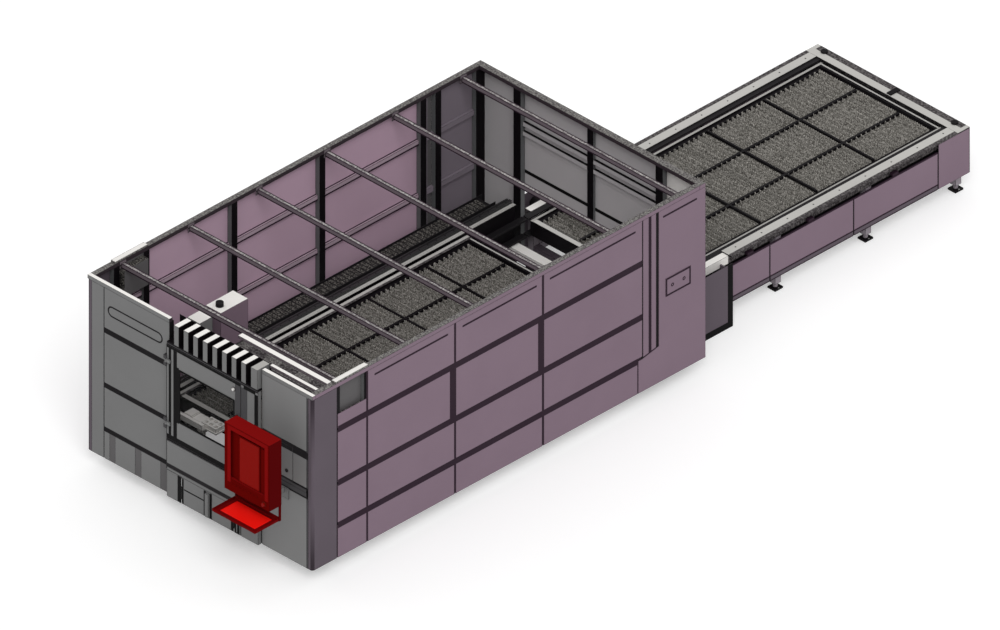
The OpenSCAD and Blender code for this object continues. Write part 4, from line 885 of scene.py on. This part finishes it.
def slat_outline(rnd, lo, hi):
    """A slat seen from the front: teeth worn down by up to 4 mm, and plain ends."""
    pitch, deep, wear = 0.030, 0.012, 0.004
    count = int((hi.x - lo.x) / pitch)
    end = ((hi.x - lo.x) - count * pitch) / 2
    root = hi.z - deep
    outline = [(lo.z, lo.x), (lo.z, hi.x), (root, hi.x)]
    x = hi.x - end - rnd.uniform(-0.9, 0.9) * end
    for _ in range(count):
        tip = hi.z - rnd.uniform(0.0, wear)
        for share, z in ((0.08, root), (0.40, tip), (0.64, tip), (0.94, root)):
            outline.append((z, x - share * pitch))
        x -= pitch
    outline.append((root, lo.x))
    return outline, root


def slats(node):
    """Support slats with worn saw-tooth upper edges, where the node has its slats."""
    lo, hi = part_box(node)
    rnd = random.Random(7)
    half = 0.002
    rows = sorted({round(v.co.y, 4) for v in frame["nodes"][node].data.vertices})
    bm = bmesh.new()
    for a, b in zip(rows[::2], rows[1::2]):
        y = (a + b) / 2
        outline, root = slat_outline(rnd, lo, hi)
        for f in add_prism(bm, outline, "Y", y - half, y + half, "slat"):
            f.normal_update()
            if abs(f.normal.y) < 0.5 and f.calc_center_median().z > root - 0.001:
                paint([f], "slat_top")
    finish_piece("toothed_" + node, bm, "slat slat_top", BODY[node], [node], 0)


slats("upper_pallet_slats")
slats("lower_pallet_slats")


def comb_bars(level, rows):
    """Dark comb bars that split the slat field lengthwise and crosswise."""
    lo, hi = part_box(level + "_pallet_slats")
    depth = 0.030
    bm = bmesh.new()
    for x in (-0.25, 0.34):
        add_box(bm, (x - 0.015, x + 0.015), (lo.y, hi.y), (hi.z - depth, hi.z - 0.001), "black")
    for y in rows:
        add_strip(bm, (lo.x, hi.x), (y - 0.011, y + 0.011), (hi.z - depth, hi.z), "black")
    finish_piece(level + "_comb_bars", bm, "black", level + "_pallet", bevel=0.002)


comb_bars("upper", (1.49, 2.29, 3.09, 3.90))
comb_bars("lower", (6.21, 7.00, 7.79, 8.58))


# Gears, racks and guide rails

def gear_outline(u, v, r, teeth, depth=0.004):
    """Outline of a gear whose teeth reach out to r."""
    pts = []
    pitch = 2 * math.pi / teeth
    for i in range(teeth):
        for share, reach in ((-0.5, r - depth), (-0.28, r - depth), (-0.14, r), (0.14, r),
                             (0.28, r - depth)):
            a = (i + share) * pitch
            pts.append((u + reach * math.cos(a), v + reach * math.sin(a)))
    return pts


def drive_pinion(node):
    """A toothed pinion with its hub and shaft."""
    lo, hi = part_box(node)
    at = ((lo.x + hi.x) / 2, (lo.y + hi.y) / 2)
    bm = bmesh.new()
    add_prism(bm, gear_outline(*at, 0.030, 20), "Z", lo.z, lo.z + 0.023, "steel")
    add_rod(bm, "Z", at, 0.018, lo.z + 0.0225, lo.z + 0.03, "steel")
    add_rod(bm, "Z", at, 0.010, lo.z + 0.022, hi.z, "steel")
    finish_piece("toothed_" + node, bm, "steel", node, [node], 0.0006)


drive_pinion("left_pinion")
drive_pinion("right_pinion")


def sprocket(node):
    """A toothed chain wheel on its shaft."""
    lo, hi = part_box(node)
    s = 1 if hi.x > 0 else -1
    at = ((lo.y + hi.y) / 2, (lo.z + hi.z) / 2)
    inner, outer = sorted((abs(lo.x), abs(hi.x)))
    bm = bmesh.new()
    wheel = sorted((s * inner, s * (inner + 0.013)))
    shaft = sorted((s * (inner + 0.001), s * outer))
    add_prism(bm, gear_outline(*at, 0.055, 14, depth=0.009), "X", *wheel, "steel")
    add_rod(bm, "X", at, 0.014, *shaft, "steel")
    finish_piece("toothed_" + node, bm, "steel", node, [node], 0.001)


sprocket("left_sprocket")
sprocket("right_sprocket")


def add_guide(bm, s, lo, hi):
    """A waisted guide rail with the rings of its bolt holes."""
    middle, half, waist = s * 0.972, 0.0175, 0.0125
    right = [(half, lo.z), (half, lo.z + 0.008), (waist, lo.z + 0.014), (waist, lo.z + 0.020),
             (half, lo.z + 0.026), (half, hi.z - 0.002), (half - 0.002, hi.z)]
    left = [(-x, z) for x, z in reversed(right)]
    profile = left[-1:] + right + left[:-1]
    add_prism(bm, [(z, middle + x) for x, z in profile], "Y", lo.y, hi.y, "guide")
    y = lo.y + 0.06
    while y < hi.y:
        add_ring(bm, "Z", (middle, y), 0.004, 0.008, hi.z - 0.001, hi.z + 0.0004, "black", 12)
        y += 0.12


def add_rack(bm, s, lo, hi):
    """A toothed rack beside a guide rail."""
    back, tip, pitch = s * 1.0055, s * 1.0295, 0.0124
    root = tip - s * 0.004
    pts = [(back, hi.y), (back, lo.y)]
    y = lo.y
    for _ in range(int((hi.y - lo.y) / pitch)):
        pts += [(root, y), (root, y + 0.0028), (tip, y + 0.0045), (tip, y + 0.0078),
                (root, y + 0.0096)]
        y += pitch
    pts.append((root, hi.y))
    add_prism(bm, pts, "Z", lo.z, lo.z + 0.0246, "guide")


def guides():
    """The gantry's two guide rails with their racks."""
    lo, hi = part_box("gantry_guides")
    bm = bmesh.new()
    for s in SIDES:
        add_guide(bm, s, lo, hi)
        add_rack(bm, s, lo, hi)
    finish_piece("profiled_guides", bm, "guide black", "machine",
                 ["gantry_guides"], 0)


guides()


def energy_chain():
    """Links of the energy chain in the tray beside the bed."""
    lo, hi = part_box("cable_tray")
    x0, x1, z0, z1 = lo.x + 0.020, lo.x + 0.170, 0.8184, 0.889
    cheek, link, pitch = 0.014, 0.050, 0.056
    bm = bmesh.new()
    y = lo.y + 0.064
    while y < hi.y - 0.10:
        for x in (x0 - 0.001, x1 - 0.013):
            add_prism(bm, rounded(y, y + link, z0, z1, 0.014, 3), "X", x, x + cheek, "chain")
        add_box(bm, (x0 + 0.012, x1 - 0.012), (y + 0.004, y + 0.046), (z1 - 0.010, z1 - 0.001),
                "chain")
        y += pitch
    finish_piece("energy_chain_links", bm, "chain", "machine", bevel=0.001)


energy_chain()


# Front door, window and lock

def window_seal():
    """Seal round the window, black bands round it, and the darker right edge of the door."""
    lo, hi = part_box("front_window")
    inset, over, lap = 0.024, 0.012, 0.006
    x0, x1, z0, z1 = lo.x + inset, hi.x - inset, lo.z + inset, hi.z - inset
    face = behind(COVER)
    back = face + 0.0005
    left, right, low, high = -0.413, 0.604, 0.915, 1.923
    bm = bmesh.new()
    add_frame(bm, "Y", rounded(z0 - over, z1 + over, x0 - over, x1 + over, 0.012),
              rounded(z0 + lap, z1 - lap, x0 + lap, x1 - lap, 0.008), face - 0.005, face + 0.004,
              "rubber")
    for x, z, out, mat in (((-0.322, -0.275), (0.916, 1.922), 0.0025, "rubber"),
                           ((-0.276, -0.2465), (1.096, 1.744), 0.0022, "rubber"),
                           ((left, right), (0.8615, low), 0.0014, "rubber"),
                           ((left, right), (high, 1.9495), 0.0014, "rubber"),
                           ((0.532, 0.6045), (0.8605, 1.9495), 0.0012, "front_low"),
                           ((-0.388, -0.354), (0.862, 1.949), 0.0018, "rubber")):
        add_box(bm, x, (face - out, back), z, mat)
    finish_piece("window_seal", bm, "rubber front_low", "front_door", bevel=0.0008)


def door_knob():
    """Pale round knob with a dark collar, above the window."""
    at, r, face = (1.855, 0.515), 0.016, behind(COVER)
    bm = bmesh.new()
    add_rod(bm, "Y", at, r, face - 0.020, face + 0.001, "white")
    add_ring(bm, "Y", at, r, r + 0.008, face - 0.004, face + 0.001, "dark", 24)
    finish_piece("door_knob", bm, "white dark", "front_door", bevel=0.002)


def lock_face():
    """Collar of the small door's lock."""
    lo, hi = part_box("key_lock")
    bm = bmesh.new()
    add_ring(bm, "Y", (hi.z - 0.017, (lo.x + hi.x) / 2), 0.0135, 0.0195, lo.y + 0.001,
             lo.y + 0.0085, "dark", 24)
    finish_piece("lock_collar", bm, "dark", "key_lock", bevel=0.0008)


window_seal()
door_knob()
lock_face()


# Console

def console_rule(n, c):
    """The foot and the sides get the dark shade paint, the front a little lighter, and the top
    lightest as painted light.
    """
    if c.z < 1.06:
        return "red_dark"
    if front(n):
        return "red_border"
    return "red" if up(n) else "red_dark"


dress("console_housing", "red red_dark red_border", console_rule, bevel=0.004)


def tray_rule(n, c):
    """The tray's floor is bright, and its walls and bar dark."""
    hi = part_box("keyboard_tray")[1]
    floor_face = up(n) and c.z < hi.z - 0.01 and c.y < hi.y - 0.03
    return "red_tray" if floor_face else "red_rim"


dress("keyboard_tray", "red_tray red_rim", tray_rule, bevel=0.002)


def console_bezel():
    """Raised rim round three sides of the front, the screen in its recess, and the keys."""
    lo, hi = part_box("console_housing")
    face, back = lo.y, lo.y + 0.030
    x0, x1, top, low, band = lo.x + 0.044, hi.x - 0.014, hi.z - 0.006, 1.165, 0.046
    rim = [(low, x0), (top, x0), (top, x1), (low, x1), (low, x1 - band), (top - band, x1 - band),
           (top - band, x0 + band), (low, x0 + band)]
    bm = bmesh.new()
    add_prism(bm, rim, "Y", face - 0.006, face + 0.001, "red")
    left, right, foot, head = 1.030, 1.300, 1.215, 1.730
    over, lap = 0.015, 0.001
    add_box(bm, (left, right), (back - 0.012, back - 0.0004), (foot, head), "screen")
    add_frame(bm, "Y", rounded(foot - over, head + over, left - over, right + over, 0.010),
              rounded(foot + lap, head - lap, left + lap, right - lap, 0.004),
              back - 0.014, back - 0.0004, "red_border")
    add_box(bm, (right + 0.025, right + 0.085), (back - 0.008, back - 0.0004), (foot, head),
            "red_border")
    for i in range(8):
        x = 0.930 + i * 0.048
        add_prism(bm, rounded(1.150, 1.176, x, x + 0.032, 0.006, 3), "Y", face - 0.004,
                  face + 0.001, "red_border")
    finish_piece("console_bezel", bm, "red screen red_border", "console")


def stop_button():
    """Mushroom-shaped stop button in its collar on the console's front."""
    lo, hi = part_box("stop_button")
    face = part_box("console_housing")[0].y
    at = ((lo.z + hi.z) / 2, (lo.x + hi.x) / 2)
    bm = bmesh.new()
    add_ring(bm, "Y", at, 0.0145, 0.026, face - 0.004, face + 0.0005, "collar", 40)
    finish_piece("stop_button_collar", bm, "collar", "console", bevel=0.001)
    bm = bmesh.new()
    add_rod(bm, "Y", at, 0.014, face - 0.012, face + 0.014, "button", 32)
    add_rod(bm, "Y", at, 0.020, lo.y + 0.001, face - 0.0112, "button", 40)
    add_rod(bm, "Y", at, 0.015, lo.y, lo.y + 0.0012, "button", 40)
    finish_piece("mushroom_button", bm, "button", "stop_button",
                 ["stop_button"], 0.003)


def tray_border():
    """Dark border of the keyboard tray's floor."""
    lo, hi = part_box("keyboard_tray")
    z = lo.z + 0.006
    outer = rounded(lo.x + 0.012, hi.x - 0.012, lo.y + 0.007, hi.y - 0.036, 0.004, 3)
    inner = rounded(lo.x + 0.062, hi.x - 0.062, lo.y + 0.052, hi.y - 0.060, 0.008, 3)
    bm = bmesh.new()
    add_frame(bm, "Z", outer, inner, z, z + 0.003, "red_rim")
    finish_piece("tray_border", bm, "red_rim", "keyboard_tray", bevel=0)


console_bezel()
stop_button()
tray_border()


# Gantry and carriage

def ribbed_motors():
    """Ribbed drive motors at the gantry's ends."""
    lo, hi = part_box("gantry_motors")
    bm = bmesh.new()
    y = (lo.y + hi.y) / 2
    shaft, body, cap, fin = 0.0105, 0.036, 0.030, 0.040
    for s in SIDES:
        at = (s * 1.0599, y)
        add_ring(bm, "Z", at, shaft, fin, lo.z, lo.z + 0.02, "dark")
        add_rod(bm, "Z", at, body, lo.z + 0.03, hi.z - 0.02, "dark", 32)
        for i in range(9):
            z = lo.z + 0.032 + i * 0.014
            add_rod(bm, "Z", at, fin, z, z + 0.006, "dark", 32)
        add_rod(bm, "Z", at, cap, hi.z - 0.02, hi.z, "dark", 32)
        add_ring(bm, "Z", at, shaft, cap, lo.z + 0.019, lo.z + 0.031, "dark")
    finish_piece("ribbed_motors", bm, "dark", "gantry", ["gantry_motors"], 0.001)


def beam_covers():
    """Sunk end panels and raised lids of the gantry's beam."""
    lo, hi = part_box("gantry_beam")
    bm = bmesh.new()
    for s in SIDES:
        x = sorted((s * (hi.x - 0.006), s * (hi.x - 0.001)))
        add_box(bm, x, (hi.y - 0.187, hi.y - 0.013), (lo.z + 0.013, hi.z - 0.013), "dark")
    count, pitch, half = 5, 0.42, 0.11
    for i in range(count):
        x = (i - (count - 1) / 2) * pitch
        add_prism(bm, rounded(x - half, x + half, hi.y - 0.165, hi.y - 0.035, 0.02), "Z",
                  hi.z - 0.0005, hi.z + 0.004, "mottle")
    finish_piece("beam_covers", bm, "dark mottle", "gantry", bevel=0.001)


def carriage_rule(n, c):
    if c.z > 1.7505:
        return "dark"                       # the connector on top
    # Tops painted white and the other faces mauve: painted light on the tops
    return "white" if up(n) else "side"


ribbed_motors()
beam_covers()
dress("gantry_beam", "plum rail", lambda n, c: "rail" if up(n) else "plum")
dress("carriage_cover", "side white dark", carriage_rule)
# The top painted white and the sides grey: painted light on the top
dress("head_cover", "front white", lambda n, c: "white" if up(n) else "front")


# Small parts of the fixed machine

def plate_frames():
    """Raised frames and socket rings of the interface plates."""
    lo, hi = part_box("interface_plates")
    edge, band, r = 0.001, 0.020, 0.004
    outer = rounded(lo.y + edge, hi.y - edge, lo.z + edge, hi.z - edge, r)
    inner = rounded(lo.y + band, hi.y - band, lo.z + band, hi.z - band, r)
    bm = bmesh.new()
    for s in SIDES:
        x = sorted((s * (hi.x - 0.0005), s * (hi.x + 0.0025)))
        add_frame(bm, "X", outer, inner, *x, "seam")
        for share in (0.27, 0.73):
            at = (lo.y + (hi.y - lo.y) * share, (lo.z + hi.z) / 2)
            add_ring(bm, "X", at, 0.010, 0.020, *x, "seam", 24)
    finish_piece("interface_plate_frames", bm, "seam", "machine", bevel=0.0008)


def bolts():
    """Hexagon bolts on the bed feet and the table feet."""
    plate, half = 0.020, 0.07
    bm = bmesh.new()
    for s in SIDES:
        for y in (0.7, 2.1, 3.5, 4.9):
            for dx in (-half, half):
                for dy in (-half, half):
                    add_bolt(bm, (s * 0.983 + dx, behind(y) + dy), plate, 0.012, 0.009)
        for y in (5.55, 6.97, 8.22, 9.47):
            add_bolt(bm, (s * 1.012, behind(y) + 0.04), plate, 0.007, 0.005)
    finish_piece("foot_bolts", bm, "steel", "machine", bevel=0.0006)


plate_frames()
bolts()


# Stage

def shown_white(tree, base, extra):
    """A strength that is base for the light and base + extra in views and reflections."""
    path = tree.nodes.new("ShaderNodeLightPath")
    last = path.outputs["Is Camera Ray"]
    for kind in ("Is Glossy Ray", "Is Transmission Ray"):
        most = tree.nodes.new("ShaderNodeMath")
        most.operation = "MAXIMUM"
        tree.links.new(last, most.inputs[0])
        tree.links.new(path.outputs[kind], most.inputs[1])
        last = most.outputs[0]
    total = tree.nodes.new("ShaderNodeMath")
    total.operation = "MULTIPLY_ADD"
    total.inputs[1].default_value = extra
    total.inputs[2].default_value = base
    tree.links.new(last, total.inputs[0])
    return total.outputs[0]


def floor():
    """Wide pale floor that keeps the machine's shadow."""
    m, tree, surface = new_material("floor")
    surface.inputs["Base Color"].default_value = (0.80, 0.80, 0.80, 1)
    surface.inputs["Roughness"].default_value = 0.9
    surface.inputs["Specular IOR Level"].default_value = 0.0
    surface.inputs["Emission Color"].default_value = (1, 1, 1, 1)
    tree.links.new(shown_white(tree, 0.0, 0.34), surface.inputs["Emission Strength"])
    reach = 60
    me = bpy.data.meshes.new("floor")
    bm = bmesh.new()
    for f in add_box(bm, (-reach, reach), (-reach, reach), (-0.02, -0.0005), "white"):
        f.material_index = 0
    bm.to_mesh(me)
    bm.free()
    me.materials.append(m)
    o = bpy.data.objects.new("floor", me)
    bpy.context.scene.collection.objects.link(o)


def studio_world():
    """Even white surroundings."""
    world = bpy.data.worlds.new("studio")
    bpy.context.scene.world = world
    world.use_nodes = True
    tree = world.node_tree
    sky = tree.nodes["Background"]
    sky.inputs["Color"].default_value = (1, 1, 1, 1)
    tree.links.new(shown_white(tree, 0.70, 0.30), sky.inputs["Strength"])


def key_lamp():
    """A soft lamp from the front right."""
    d = bpy.data.lights.new("key", "SUN")
    d.energy = 1.1
    d.angle = math.radians(30)
    o = bpy.data.objects.new("key", d)
    o.rotation_mode = "QUATERNION"
    o.rotation_quaternion = Vector((0.55, -0.42, 0.72)).to_track_quat("Z", "Y")
    bpy.context.scene.collection.objects.link(o)


floor()
studio_world()
key_lamp()
bpy.context.scene.view_settings.view_transform = "Standard"
